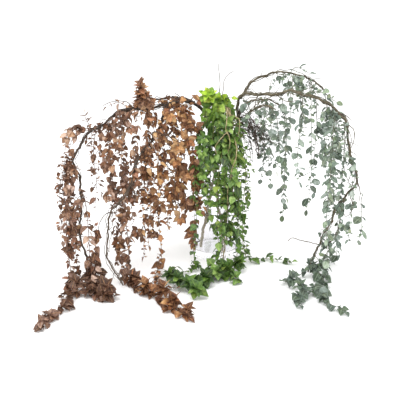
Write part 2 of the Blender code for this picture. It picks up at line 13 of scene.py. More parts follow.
import bmesh
import bpy
from mathutils import Matrix, Vector, noise
from mathutils.bvhtree import BVHTree
from mathutils.geometry import interpolate_bezier, intersect_point_line


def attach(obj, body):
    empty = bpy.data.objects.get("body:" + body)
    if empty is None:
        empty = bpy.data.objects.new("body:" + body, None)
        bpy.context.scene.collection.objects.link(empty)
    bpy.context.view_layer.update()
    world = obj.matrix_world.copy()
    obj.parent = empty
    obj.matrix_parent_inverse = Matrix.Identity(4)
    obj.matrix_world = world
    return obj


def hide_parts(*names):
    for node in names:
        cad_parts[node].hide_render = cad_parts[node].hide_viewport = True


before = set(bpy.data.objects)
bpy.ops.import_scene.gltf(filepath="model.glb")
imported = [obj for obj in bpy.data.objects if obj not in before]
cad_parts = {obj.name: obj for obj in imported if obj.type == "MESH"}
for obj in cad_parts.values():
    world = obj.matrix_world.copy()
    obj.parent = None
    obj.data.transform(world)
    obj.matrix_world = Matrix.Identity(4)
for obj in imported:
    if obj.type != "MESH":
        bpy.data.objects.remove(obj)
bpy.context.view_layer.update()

Shoot = namedtuple("Shoot", "name thick thin step points")
Fall = namedtuple("Fall", "shoot foot end trail", defaults=[()])
Spray = namedtuple("Spray", "shoot points")
PackedStrand = namedtuple("PackedStrand", "name points route tree")
Bark = namedtuple("Bark", "place along radius")
Node = namedtuple("Node", "place along side")
Leaf = namedtuple("Leaf", "node azimuth tilt roll length")
Blade = namedtuple("Blade", "name width cup fold droop curl wave")
Crown = namedtuple("Crown", "shoot first last count lengths rise headings size")
Rosette = namedtuple("Rosette", "place axis count size")
Foliage = namedtuple("Foliage", "work colour blades broad half_width draw")
Habit = namedtuple("Habit", "size split")
Rung = namedtuple("Rung", "start end sag")
Plant = namedtuple("Plant", "wood falls sprays crowns rosettes fillers rungs vines "
                            "leaf_width leaf_size split seed")
LeafLook = namedtuple("LeafLook", "young old rib rib_share rim rim_share under under_share bloom bloom_share "
                                  "blotches blush blush_share roughness gloss vein_count")
BarkLook = namedtuple("BarkLook", "fibres patch patch_share crack crack_share roughness scale low_share",
                      defaults=[0.0])

UP = Vector((0, 0, 1))
DOWN = Vector((0, 0, -1))
GOLDEN_ANGLE = math.radians(137.5)
CURVE_STEPS = 12
MERGE = 0.0001
NEXT_TO = 0.00001

# The camera stands in front and a little above, and looks down at the foot of the vase.
CAMERA_PLACE = (-0.045, -2.2825, 0.9092)
CAMERA_TARGET = (-0.045, 0.0, 0.1676)
CAMERA_LENS = 72.0
CAMERA_SENSOR = 36.0
FLOOR_RADIUS = 60.0
FLOOR_SIDES = 64
FLOOR_HEIGHT = -0.0004

# The vase, and the heights on its floor at which the stems stand and leave their straight feet.
VASE_RADIUS = 0.070
VASE_HEIGHT = 0.350
VASE_WALL = 0.004
VASE_FLOOR = 0.020
VASE_ROUND = 0.006
VASE_LIP = 0.002
VASE_RIM = 0.0018
VASE_SIDES = 96
GAP = 0.0003
SEAT = VASE_FLOOR + GAP
FOOT_TOP = SEAT + 0.012

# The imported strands: spacing of the points on wood, twigs and stems, how a strand leaves the bark, arches and
# hangs, its leaves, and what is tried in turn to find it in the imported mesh.
WOOD_STEP = 0.045
TWIG_STEP = 0.032
STEM_STEP = 0.050
STUB = 0.008
LIE_HEIGHT = 0.010
LEAVE_DROP = 0.012
ARCH_REACH = 0.62
ARCH_RISE = 0.15
ARCH_DROP = 0.12
KNEE_DROP = 0.36
HANG_DROP = 0.68
SWAY = 0.006
LEAF_LENGTH = 0.029
LEAF_SPACING = 0.042
LEAF_WIDEST = 0.38
LEAF_DROOP = 0.12
LEAF_TILT = (math.radians(46), math.radians(68))
LEAF_ROLL = math.radians(38)
LEAF_STRAY = math.radians(14)
LEAF_SIZES = (0.85, 1.15)
LIE_FLAT = 0.7
TIP_TILT = math.radians(24)
TIP_SIZE = 0.75
TIP_INSET = 0.002
FLOOR_CLEAR = 0.0006
RUN_SHARES = (0.25, 0.5, 0.75)
TUBE_FACE = 0.96
HEIGHT_COUNTS = 0.25
BARKS_TRIED = 6
MOVES_TRIED = 25
MOVE_STEP = 0.004
LEAF_TURNS = [math.radians(angle) for angle in (0, 25, -25, 50, -50, 75, -75)]
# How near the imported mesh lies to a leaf, and to a stem, that is found in it.
PACKED_NEAR = 0.0006
STEM_NEAR = 0.0016

# The finer strands: spacing of the rings, radii, how many pairs grow for each packed leaf or how far apart,
# and the sizes, tilts and sag of the leaves. Sizes are shares of a leaf's length.
FINE_STEP = 0.007
FINE_STEM = (0.0012, 0.0006)
SHOOT_RADII = (0.0009, 0.0005)
STEM_SIDES = 5
STEM_WOBBLE = 0.0012
PAIRS_PER_LEAF = 3
PAIR_SPACING = 0.0115
PAIR_MISSING = 0.06
PAIR_ROLL = math.radians(50)
PAIR_SAG = 0.15
PAIR_LENGTHS = (0.9, 1.1)
PAIR_WIDTHS = (0.88, 1.12)
LARGE_SIZES = (0.72, 1.06)
SMALL_SIZES = (0.40, 0.68)
LARGE_TILT = (math.radians(26), math.radians(64))
SMALL_TILT = (math.radians(70), math.radians(108))
HABIT_SCALE = 22.0
HABIT_SHIFT = 90
PATCH_SCALES = (26.0, 13.0)
PATCH_SHARES = (0.45, 0.40)
TIP_SHRINK = 0.45
TIP_ROOM = 0.14
TIP_LEAF = 0.7
STEEPEST = 0.9
FEWEST_PAIRS = 3
SIDE_LENGTHS = (0.028, 0.050)
SIDE_RISE = 0.004
SIDE_REACHES = (0.4, 0.6)
SIDE_HANG = 0.5
LYING_LENGTHS = (0.010, 0.022)
LYING_SIZE = 1.1
LYING_RISE = 0.020
LYING_RISES = (0.5, 1)
LYING_HEIGHT = 0.045
ROSETTE_SAG = 0.35
ROSETTE_STAND = 0.05
ROSETTE_UPRIGHT = 0.5
ROSETTE_TILTS = (math.radians(18), math.radians(92))
ROSETTE_STRAY = 0.15
ROSETTE_ROLL = 0.5
ROSETTE_DEPTH = 0.012
ROSETTE_STALK = 0.004
ROSETTE_INNER = 0.55
CROWN_STEPS = 200
CROWN_BENDS = ((0.30, 0.0), (0.60, 0.12), (0.78, 0.45))
CROWN_STRAY = 0.1
BLADE_THICKNESS = 0.00045
BLADE_RUNS = 6
BLADE_COLUMNS = 4
BLADE_WAVES = 9.0
BLADE_WAVE_SLANT = 4
BLADE_RIM = 0.99
BLADE_RIM_ANGLE = 1.2

# A leaf's tone and age: their spread from leaf to leaf, and how they shift with its place. Brown leaves look
# older towards the left and oldest where they lie there. Deep in the crown they get painted shade: a darker
# tone and older, darker colours. Green ones are young at the very top. Leaves that lie on the surface are darker.
TONE_SPREAD = 0.28
AGE_SPREAD = 0.22
LEFT_START = 0.13
LEFT_TONE = 0.08
BROWN_YOUTH = 0.15
FAR_LEFT = -0.25
FAR_LEFT_AGE = 0.35
DEEP_CROWN = (-0.09, 0.43)
CROWN_SHADE_TONE = 0.14
CROWN_SHADE_AGE = 0.25
BROWN_LYING_TONE = 0.36
GREEN_TOP = 0.435
GREEN_TOP_DEPTH = 0.05
GREEN_AGE_SHARE = 0.6
GREEN_LEFT = -0.02
GREEN_LYING_TONES = (0.30, 0.05)
GREY_AGE = 0.80
GREY_LYING_TONE = 0.42

# The finer wood: spacing of the rings, sides, bends, knots, and the thin shoots on it. Bends, the bark's
# roughness and the winding are noise per metre.
BARK_STEP = 0.0055
BARK_SIDES = 9
TWIG_SIDES = 5
WOOD_STRAY = 0.0052
TWIG_STRAY = 0.0022
ROOT_STRAY = 0.0055
LONG_BENDS = 26.0
SHORT_BENDS = 80.0
SHORT_SHARE = 0.6
STILL_RINGS = 3
BEND_SEED = 7
KNOT_SEED = 50
WHIM_SEED = 200
BUNDLE_SEED = 300
WOOD_END = 1.4
KNOT_SPACING = (0.022, 0.048)
KNOT_RISE = 0.34
KNOT_REACH = 0.0032
KNOT_SIZES = (0.4, 1.0)
ROUGH_SCALE = 90
ROUGH_SHARE = 0.10
FORK_FLARE = 0.55
FORK_REACH = 0.010
WIND_RATE = 38.0
WIND_REACH = 0.0062
WIND_STRAY = 2
WIND_SCALE = 20
SWING_SCALE = 35
WIND_RINGS = 5
COMPANION_TURNS = (0, 2.4)
COMPANION_RADII = (0.0013, 0.0008)
TWIGLET_SPACING = 0.036
TWIGLET_LENGTHS = (0.014, 0.042)
TWIGLET_RADII = (0.0010, 0.0005)
TWIGLET_REACHES = (0.5, 0.8)
TWIGLET_LEANS = ((0.1, 0.4), (0.4, 0.8))
TWIGLET_FALL = (-0.2, 0.5)
TWIGLET_STRAY = 0.0012
RUNG_STRAY = 0.002
VINE_RADII = (0.0014, 0.0009)
VINE_STRAY = 0.003
ROOT_TWIGS = 46
ROOT_TWIG_RADII = (0.0008, 0.0004)
ROOT_TWIG_LENGTHS = (0.050, 0.158)
ROOT_TWIG_DIPS = (math.radians(4), math.radians(66))
ROOT_TWIG_BENDS = ((0.4, 0.2), (0.75, 0.6), (1.0, 1.0))
ROOT_FORK_SHARE = 0.35
ROOT_FORK_SIDE = 0.6
ROOT_FORK_FALL = 0.2
ROOT_LEAF_FIRST = 2 / 3
ROOT_LEAF_EVERY = 4
ROOT_LEAF_SIZES = (0.28, 0.50)
ROOT_TONE = 0.35
ROOT_SAG = 0.3
# The thin shoots on a trunk start this far above the vase's mouth, within so many of its rings.
BARE_MARGIN = 0.02
TRUNK_FOOT = 60

# Patterns on the leaves: veins and the rim by their place across the blade, the root by its place along it,
# noise per metre, and the depth of the bumps in metres.
MIDRIB_EDGE = (0.04, 0.15)
VEIN_SLANT = 1.3
VEIN_SHARE = 0.3
VEIN_EDGE = (0.02, 0.16)
VEIN_FADE = (0.55, 1.0)
RIM_EDGE = (0.72, 1.0)
ROOT_EDGE = (0.0, 0.30)
BLOTCH_SCALE = 160.0
SPECKLE_SCALE = 900.0
MOTTLE_RANGE = (0.30, 0.70)
MOTTLE_SPREAD = 20.0
BLUSH_SPREAD = 37.0
BLUSH_CHANCE = (0.60, 0.85)
SPECKLE_BUMP = 0.25
LEAF_BUMP = 0.0003

# Patterns on the bark, on the glass and on the floor.
FIBRE_STRETCH = (1.0, 1.0, 0.15)
FIBRE_RANGE = (0.30, 0.72)
CRACK_EDGE = (0.0, 0.14)
BARK_BUMP = 0.0006
GLASS_IOR = 1.45
SMEAR_SCALE = 14.0
SMEAR_RANGE = (0.45, 0.75)
SMEAR_ROUGHNESS = 0.015
FLOOR_GRAIN = 3.0
FLOOR_ROUGHNESS = 0.9
FLOOR_GLOSS = 0.1

# Studio.
ROOM_LIGHT = 1.3
LAMP_PLACE = (-0.7, -1.7, 3.1)
LAMP_SIZE = 3.0
LAMP_POWER = 90.0
LAMP_TARGET = (0, 0, 0.2)

# Wood: name, radius at the start and at the end, spacing of the rings, and the route. The first shoot is
# the trunk, and each of the others starts on the shoot before it that lies nearest.
BROWN_WOOD = (
    Shoot("trunk", 0.0048, 0.0016, WOOD_STEP, (
        (0.030, 0.030, SEAT), (0.030, 0.030, FOOT_TOP), (0.010, 0.024, 0.160), (-0.018, 0.012, 0.350),
        (-0.028, 0.008, 0.420), (-0.050, 0.000, 0.455), (-0.105, -0.030, 0.474), (-0.193, -0.075, 0.460),
        (-0.263, -0.105, 0.462), (-0.312, -0.125, 0.428), (-0.341, -0.140, 0.413), (-0.367, -0.155, 0.385),
        (-0.386, -0.170, 0.349), (-0.386, -0.178, 0.317), (-0.373, -0.185, 0.282), (-0.372, -0.200, 0.212),
        (-0.373, -0.215, 0.127), (-0.352, -0.225, 0.060), (-0.334, -0.235, 0.012))),
    Shoot("front_fork", 0.0036, 0.0013, WOOD_STEP, (
        (-0.145, -0.052, 0.468), (-0.149, -0.070, 0.433), (-0.177, -0.100, 0.382), (-0.204, -0.125, 0.349),
        (-0.225, -0.150, 0.315), (-0.238, -0.170, 0.269), (-0.259, -0.190, 0.232), (-0.286, -0.205, 0.202),
        (-0.297, -0.220, 0.167), (-0.300, -0.240, 0.101), (-0.285, -0.260, 0.055), (-0.255, -0.272, 0.010))),
    Shoot("back_fork", 0.0034, 0.0014, WOOD_STEP, (
        (-0.048, 0.001, 0.453), (-0.089, 0.060, 0.462), (-0.150, 0.100, 0.458), (-0.212, 0.120, 0.438),
        (-0.265, 0.130, 0.405))),
    Shoot("looped_twig", 0.0014, 0.0009, TWIG_STEP, (
        (-0.286, -0.205, 0.202), (-0.310, -0.220, 0.190), (-0.320, -0.232, 0.168), (-0.319, -0.245, 0.140))),
    Shoot("bowed_twig", 0.0013, 0.0008, TWIG_STEP, (
        (-0.238, -0.170, 0.269), (-0.222, -0.182, 0.240), (-0.236, -0.188, 0.205))),
    Shoot("left_twig", 0.0014, 0.0008, TWIG_STEP, (
        (-0.228, -0.090, 0.462), (-0.249, -0.100, 0.485), (-0.280, -0.112, 0.488), (-0.312, -0.122, 0.478))),
    Shoot("top_twig", 0.0014, 0.0008, TWIG_STEP, (
        (-0.095, -0.024, 0.474), (-0.106, -0.030, 0.490), (-0.118, -0.032, 0.497))),
)
GREEN_WOOD = (
    Shoot("trunk", 0.0045, 0.0022, WOOD_STEP, (
        (-0.042, -0.006, SEAT), (-0.042, -0.006, FOOT_TOP), (-0.015, -0.010, 0.177), (0.008, -0.018, 0.325),
        (0.016, -0.020, 0.386), (0.016, -0.020, 0.446), (0.006, -0.024, 0.482))),
    Shoot("front_vine", 0.0026, 0.0012, WOOD_STEP, (
        (0.016, -0.020, 0.446), (0.032, -0.050, 0.458), (0.042, -0.088, 0.416), (0.037, -0.104, 0.340),
        (0.046, -0.112, 0.233), (0.032, -0.118, 0.160), (0.030, -0.124, 0.085), (0.022, -0.134, 0.022))),
    Shoot("back_vine", 0.0026, 0.0012, WOOD_STEP, (
        (0.016, -0.020, 0.430), (0.022, 0.030, 0.448), (0.020, 0.080, 0.420), (0.014, 0.096, 0.350),
        (0.018, 0.104, 0.250))),
    Shoot("tall_twig", 0.0013, 0.0007, TWIG_STEP, (
        (0.010, -0.023, 0.476), (0.012, -0.012, 0.515), (0.007, -0.010, 0.576))),
    Shoot("curved_twig", 0.0013, 0.0007, TWIG_STEP, (
        (0.013, -0.021, 0.462), (0.022, -0.010, 0.505), (0.026, 0.000, 0.534), (0.052, 0.010, 0.553))),
)
GREY_WOOD = (
    Shoot("trunk", 0.0048, 0.0018, WOOD_STEP, (
        (0.020, -0.034, SEAT), (0.020, -0.034, FOOT_TOP), (0.042, -0.014, 0.200), (0.0605, 0.000, 0.350),
        (0.068, 0.000, 0.394), (0.065, 0.000, 0.441), (0.075, -0.002, 0.482), (0.098, -0.015, 0.492),
        (0.136, -0.035, 0.493), (0.174, -0.055, 0.498), (0.203, -0.070, 0.512), (0.235, -0.085, 0.504),
        (0.277, -0.100, 0.495), (0.310, -0.110, 0.481), (0.335, -0.120, 0.458), (0.355, -0.130, 0.435),
        (0.362, -0.140, 0.389), (0.368, -0.150, 0.347), (0.382, -0.160, 0.309), (0.389, -0.165, 0.271),
        (0.361, -0.165, 0.236), (0.335, -0.165, 0.195), (0.312, -0.170, 0.140), (0.293, -0.180, 0.096),
        (0.273, -0.182, 0.050), (0.262, -0.184, 0.012))),
    Shoot("top_arch", 0.0034, 0.0014, WOOD_STEP, (
        (0.072, 0.000, 0.476), (0.109, 0.030, 0.518), (0.160, 0.060, 0.536), (0.204, 0.085, 0.537),
        (0.256, 0.100, 0.524), (0.300, 0.110, 0.504), (0.332, 0.112, 0.474))),
    Shoot("low_fork", 0.0032, 0.0014, WOOD_STEP, (
        (0.068, 0.000, 0.392), (0.084, -0.022, 0.419), (0.105, -0.050, 0.452), (0.133, -0.080, 0.466),
        (0.166, -0.092, 0.462))),
    Shoot("back_arch", 0.0030, 0.0013, WOOD_STEP, (
        (0.066, 0.000, 0.420), (0.090, 0.045, 0.450), (0.130, 0.090, 0.456), (0.180, 0.125, 0.440),
        (0.225, 0.150, 0.405))),
    Shoot("forked_end", 0.0016, 0.0010, TWIG_STEP, (
        (0.389, -0.165, 0.272), (0.400, -0.162, 0.246), (0.400, -0.160, 0.217))),
    Shoot("side_twig", 0.0015, 0.0009, TWIG_STEP, (
        (0.368, -0.150, 0.345), (0.378, -0.140, 0.300), (0.368, -0.136, 0.262))),
    Shoot("corner_twig", 0.0014, 0.0008, TWIG_STEP, (
        (0.336, -0.120, 0.457), (0.354, -0.128, 0.452), (0.370, -0.134, 0.438))),
    Shoot("low_twig", 0.0018, 0.0010, TWIG_STEP, (
        (0.361, -0.165, 0.236), (0.352, -0.156, 0.190), (0.346, -0.158, 0.140), (0.324, -0.178, 0.106),
        (0.291, -0.196, 0.101), (0.249, -0.212, 0.116), (0.208, -0.225, 0.130), (0.196, -0.230, 0.124))),
)

# Fine bare twigs fan out of the grey trunk to the right, above the mouth, and droop.
FINE_TWIGS = 8
FINE_TWIG_RADII = (0.0012, 0.0008)
FINE_TWIG_START = 0.066
FINE_TWIG_HEIGHTS = (0.372, 0.436)
FINE_TWIG_REACH = (0.045, 0.080)
FINE_TWIG_REACHES = (0.35, 0.85)
FINE_TWIG_RISE = 0.008
FINE_TWIG_SAG = 0.4
FINE_TWIG_DROP = (0.045, 0.120)
FINE_TWIG_SPREAD = math.radians(38)

# Hanging strands, numbered in this order: shoot, foot in plan, height of the end, and the places that a long
# one trails over.
BROWN_FALLS = (
    Fall("trunk", (-0.420, -0.200), 0.150),
    Fall("trunk", (-0.402, -0.250), 0.030,
         ((-0.388, -0.330), (-0.408, -0.440), (-0.435, -0.520))),
    Fall("trunk", (-0.345, -0.262), 0.030, ((-0.318, -0.340), (-0.272, -0.345))),
    Fall("trunk", (-0.348, -0.075), 0.157),
    Fall("back_fork", (-0.310, 0.060), 0.240),
    Fall("trunk", (-0.290, -0.170), 0.190),
    Fall("trunk", (-0.270, -0.050), 0.175),
    Fall("back_fork", (-0.238, 0.060), 0.250),
    Fall("front_fork", (-0.246, -0.226), 0.030,
         ((-0.218, -0.285), (-0.140, -0.374), (-0.072, -0.468))),
    Fall("trunk", (-0.158, -0.152), 0.030,
         ((-0.172, -0.205), (-0.150, -0.265), (-0.108, -0.290))),
    Fall("back_fork", (-0.205, 0.165), 0.120),
    Fall("trunk", (-0.142, 0.000), 0.089),
    Fall("trunk", (-0.106, -0.086), 0.144),
    Fall("trunk", (-0.064, -0.120), 0.066),
    Fall("back_fork", (-0.100, 0.110), 0.110),
    Fall("looped_twig", (-0.330, -0.262), 0.030, ((-0.318, -0.285),)),
)
GREEN_FALLS = (
    Fall("trunk", (-0.045, -0.092), 0.240),
    Fall("trunk", (-0.012, -0.122), 0.120),
    Fall("front_vine", (0.004, -0.160), 0.030, ((-0.020, -0.200), (-0.050, -0.282))),
    Fall("front_vine", (0.060, -0.150), 0.030, ((0.030, -0.185), (0.052, -0.240))),
    Fall("front_vine", (0.084, -0.098), 0.030,
         ((0.120, -0.075), (0.179, -0.080), (0.226, -0.105))),
    Fall("trunk", (-0.060, -0.135), 0.030,
         ((-0.074, -0.160), (-0.098, -0.180), (-0.132, -0.188))),
    Fall("back_vine", (0.050, 0.130), 0.110),
    Fall("back_vine", (-0.022, 0.125), 0.060),
)
GREY_FALLS = (
    Fall("low_fork", (0.172, -0.118), 0.290),
    Fall("low_fork", (0.158, -0.050), 0.235),
    Fall("trunk", (0.202, -0.020), 0.124),
    Fall("top_arch", (0.222, 0.060), 0.360),
    Fall("trunk", (0.232, -0.128), 0.262),
    Fall("top_arch", (0.290, 0.075), 0.110),
    Fall("trunk", (0.286, -0.058), 0.210),
    Fall("top_arch", (0.338, 0.100), 0.290),
    Fall("trunk", (0.314, -0.150), 0.190),
    Fall("trunk", (0.345, -0.072), 0.245),
    Fall("forked_end", (0.406, -0.166), 0.100),
    Fall("low_twig", (0.352, -0.114), 0.030, ((0.340, -0.095), (0.322, -0.060))),
    Fall("trunk", (0.306, -0.215), 0.030,
         ((0.262, -0.300), (0.214, -0.352), (0.212, -0.398))),
    Fall("back_arch", (0.150, 0.140), 0.190),
    Fall("back_arch", (0.228, 0.172), 0.120),
)

# Sprays: short leafy shoots that stand up from the wood or lie along the surface.
BROWN_SPRAYS = {
    "brown_tuft": Spray("trunk", (
        (-0.206, -0.084, 0.480), (-0.205, -0.088, 0.508), (-0.209, -0.092, 0.536))),
    "brown_sprig": Spray("trunk", (
        (-0.350, -0.136, 0.424), (-0.356, -0.130, 0.440), (-0.364, -0.126, 0.458))),
    "brown_crown_left": Spray("trunk", (
        (-0.250, -0.098, 0.474), (-0.268, -0.116, 0.486), (-0.300, -0.124, 0.476))),
    "brown_crown_middle": Spray("trunk", (
        (-0.160, -0.058, 0.476), (-0.140, -0.072, 0.492), (-0.100, -0.078, 0.490))),
    "brown_crown_right": Spray("trunk", (
        (-0.070, -0.010, 0.474), (-0.062, -0.034, 0.492), (-0.052, -0.068, 0.482))),
}
GREEN_SPRAYS = {
    "green_left_tuft": Spray("trunk", (
        (-0.004, -0.028, 0.488), (-0.018, -0.032, 0.496), (-0.036, -0.034, 0.494))),
    "green_right_tuft": Spray("trunk", (
        (0.012, -0.036, 0.474), (0.026, -0.046, 0.486), (0.044, -0.052, 0.488))),
}
GREY_SPRAYS = {
    "grey_left_trail": Spray("trunk", (
        (0.256, -0.190, 0.014), (0.232, -0.206, LIE_HEIGHT), (0.186, -0.244, LIE_HEIGHT))),
    "grey_right_trail": Spray("trunk", (
        (0.270, -0.192, 0.016), (0.296, -0.270, LIE_HEIGHT), (0.280, -0.360, LIE_HEIGHT),
        (0.326, -0.432, LIE_HEIGHT))),
    "grey_sprig": Spray("trunk", ((0.082, -0.010, 0.470), (0.092, -0.034, 0.462), (0.098, -0.050, 0.444))),
    "grey_crown_back": Spray("top_arch", (
        (0.215, 0.088, 0.545), (0.240, 0.080, 0.552), (0.280, 0.082, 0.534))),
    "grey_crown_front": Spray("trunk", (
        (0.262, -0.096, 0.506), (0.290, -0.110, 0.512), (0.328, -0.124, 0.488))),
}

# Leafy side shoots on the wood: shoot, shares of its length where they start, how many, lengths, how far they
# rise for each metre, the headings that they leave in, and the size of their leaves.
BROWN_CROWNS = (
    Crown("trunk", 0.385, 0.49, 5, (0.040, 0.075), -0.45, (200, 340), 0.85),
    Crown("trunk", 0.49, 0.64, 7, (0.030, 0.050), -0.10, (190, 350), 0.75),
    Crown("front_fork", 0.06, 0.50, 8, (0.035, 0.060), 0.0, (0, 360), 0.9),
    Crown("back_fork", 0.10, 0.95, 7, (0.040, 0.070), 0.0, (20, 160), 0.85),
)
GREEN_CROWNS = (
    Crown("trunk", 0.93, 1.00, 8, (0.030, 0.045), 0.25, (0, 360), 1.0),
    Crown("front_vine", 0.04, 0.80, 11, (0.030, 0.050), 0.0, (180, 360), 1.0),
    Crown("back_vine", 0.05, 0.80, 8, (0.040, 0.060), 0.0, (20, 160), 1.0),
)
GREY_CROWNS = (
    Crown("top_arch", 0.44, 0.98, 9, (0.035, 0.060), -0.45, (0, 360), 0.75),
    Crown("low_fork", 0.60, 0.98, 4, (0.035, 0.055), -0.30, (200, 340), 0.8),
    Crown("back_arch", 0.30, 0.95, 5, (0.035, 0.060), -0.10, (20, 160), 0.8),
    Crown("trunk", 0.52, 0.74, 5, (0.030, 0.045), -0.40, (190, 290), 0.75),
    Crown("trunk", 0.88, 0.99, 7, (0.025, 0.045), 0.0, (170, 370), 0.75),
)

# Rosettes, each at the tip of a shoot of its own: place, the way it faces, how many leaves, and their size.
BROWN_ROSETTES = (
    Rosette((-0.208, -0.092, 0.532), (0.0, -0.4, 1.0), 8, 1.0),
    Rosette((-0.206, -0.088, 0.516), (0.0, -0.3, 1.0), 9, 1.1),
    Rosette((-0.198, -0.088, 0.498), (0.4, -0.6, 0.8), 9, 1.05),
    Rosette((-0.216, -0.092, 0.496), (-0.5, -0.5, 0.8), 8, 0.95),
    Rosette((-0.186, -0.092, 0.482), (0.4, -0.9, 0.4), 8, 1.0),
    Rosette((-0.130, -0.105, 0.452), (0.1, -1.0, 0.3), 9, 1.0),
    Rosette((-0.080, -0.108, 0.425), (0.1, -1.0, 0.1), 8, 1.0),
    Rosette((-0.056, -0.100, 0.415), (0.3, -1.0, 0.1), 8, 1.0),
    Rosette((-0.113, -0.115, 0.320), (0.0, -1.0, 0.1), 9, 1.0),
    Rosette((-0.058, -0.110, 0.310), (0.1, -1.0, 0.1), 8, 1.0),
    Rosette((-0.052, -0.112, 0.250), (0.1, -1.0, 0.1), 8, 1.0),
    Rosette((-0.115, -0.118, 0.245), (-0.1, -1.0, 0.1), 9, 1.05),
    Rosette((-0.056, -0.112, 0.190), (0.1, -1.0, 0.0), 8, 1.0),
    Rosette((-0.102, -0.115, 0.150), (0.0, -1.0, 0.0), 8, 1.0),
    Rosette((-0.070, -0.115, 0.120), (0.0, -1.0, 0.0), 7, 0.9),
    Rosette((-0.245, -0.150, 0.265), (0.0, -1.0, 0.1), 8, 0.95),
    Rosette((-0.280, -0.160, 0.250), (0.0, -1.0, 0.1), 8, 0.95),
    Rosette((-0.235, -0.140, 0.420), (0.0, -1.0, 0.1), 8, 0.9),
    Rosette((-0.106, -0.118, 0.365), (0.0, -1.0, 0.2), 10, 1.15),
    Rosette((-0.078, -0.112, 0.378), (0.2, -1.0, 0.1), 9, 1.1),
    Rosette((-0.150, -0.115, 0.390), (-0.1, -1.0, 0.2), 9, 1.0),
    Rosette((-0.196, -0.130, 0.340), (-0.1, -1.0, 0.1), 9, 1.0),
    Rosette((-0.195, -0.135, 0.290), (0.0, -1.0, 0.1), 8, 0.95),
    Rosette((-0.085, -0.120, 0.285), (-0.1, -1.0, 0.1), 10, 1.15),
    Rosette((-0.150, -0.120, 0.285), (0.0, -1.0, 0.2), 9, 1.0),
    Rosette((-0.085, -0.118, 0.205), (0.1, -1.0, 0.1), 10, 1.15),
    Rosette((-0.130, -0.115, 0.225), (0.0, -1.0, 0.1), 9, 1.0),
    Rosette((-0.196, -0.130, 0.215), (0.0, -1.0, 0.1), 8, 0.95),
    Rosette((-0.160, -0.115, 0.185), (-0.1, -1.0, 0.0), 8, 0.95),
    Rosette((-0.270, -0.160, 0.380), (0.0, -1.0, 0.1), 8, 0.9),
    Rosette((-0.300, -0.165, 0.325), (0.1, -1.0, 0.2), 9, 1.0),
    Rosette((-0.305, -0.150, 0.400), (-0.1, -1.0, 0.1), 7, 0.85),
    Rosette((-0.255, -0.160, 0.175), (0.0, -1.0, 0.1), 9, 1.0),
    Rosette((-0.274, -0.190, 0.100), (0.0, -1.0, 0.1), 8, 0.95),
    Rosette((-0.268, -0.190, 0.062), (0.1, -1.0, 0.2), 8, 0.95),
    Rosette((-0.195, -0.125, 0.150), (0.0, -1.0, 0.0), 8, 0.9),
    Rosette((-0.225, -0.150, 0.120), (0.0, -1.0, 0.1), 8, 0.9),
    Rosette((-0.235, -0.155, 0.225), (0.0, -1.0, 0.1), 8, 0.9),
    Rosette((-0.180, -0.120, 0.105), (0.0, -1.0, 0.0), 7, 0.85),
    Rosette((-0.400, -0.195, 0.325), (-0.2, -1.0, 0.1), 8, 0.85),
    Rosette((-0.405, -0.200, 0.260), (-0.2, -1.0, 0.1), 8, 0.9),
    Rosette((-0.404, -0.205, 0.205), (-0.1, -1.0, 0.1), 9, 0.95),
    Rosette((-0.390, -0.215, 0.155), (-0.2, -1.0, 0.2), 8, 0.9),
    Rosette((-0.410, -0.220, 0.095), (-0.2, -1.0, 0.1), 8, 0.9),
    Rosette((-0.348, -0.262, 0.034), (0.0, -0.9, 0.5), 9, 1.05),
    Rosette((-0.380, -0.300, 0.032), (-0.1, -0.9, 0.5), 8, 1.0),
    Rosette((-0.293, -0.335, 0.034), (0.3, -0.9, 0.5), 9, 1.15),
    Rosette((-0.325, -0.315, 0.034), (0.0, -0.9, 0.6), 9, 1.1),
    Rosette((-0.222, -0.262, 0.030), (0.0, -0.9, 0.5), 8, 1.0),
    Rosette((-0.192, -0.310, 0.030), (-0.1, -0.9, 0.5), 8, 1.0),
    Rosette((-0.140, -0.335, 0.032), (0.2, -0.9, 0.5), 9, 1.15),
    Rosette((-0.112, -0.405, 0.028), (0.0, -0.9, 0.5), 8, 1.05),
    Rosette((-0.075, -0.455, 0.028), (0.2, -0.9, 0.5), 7, 1.0),
)
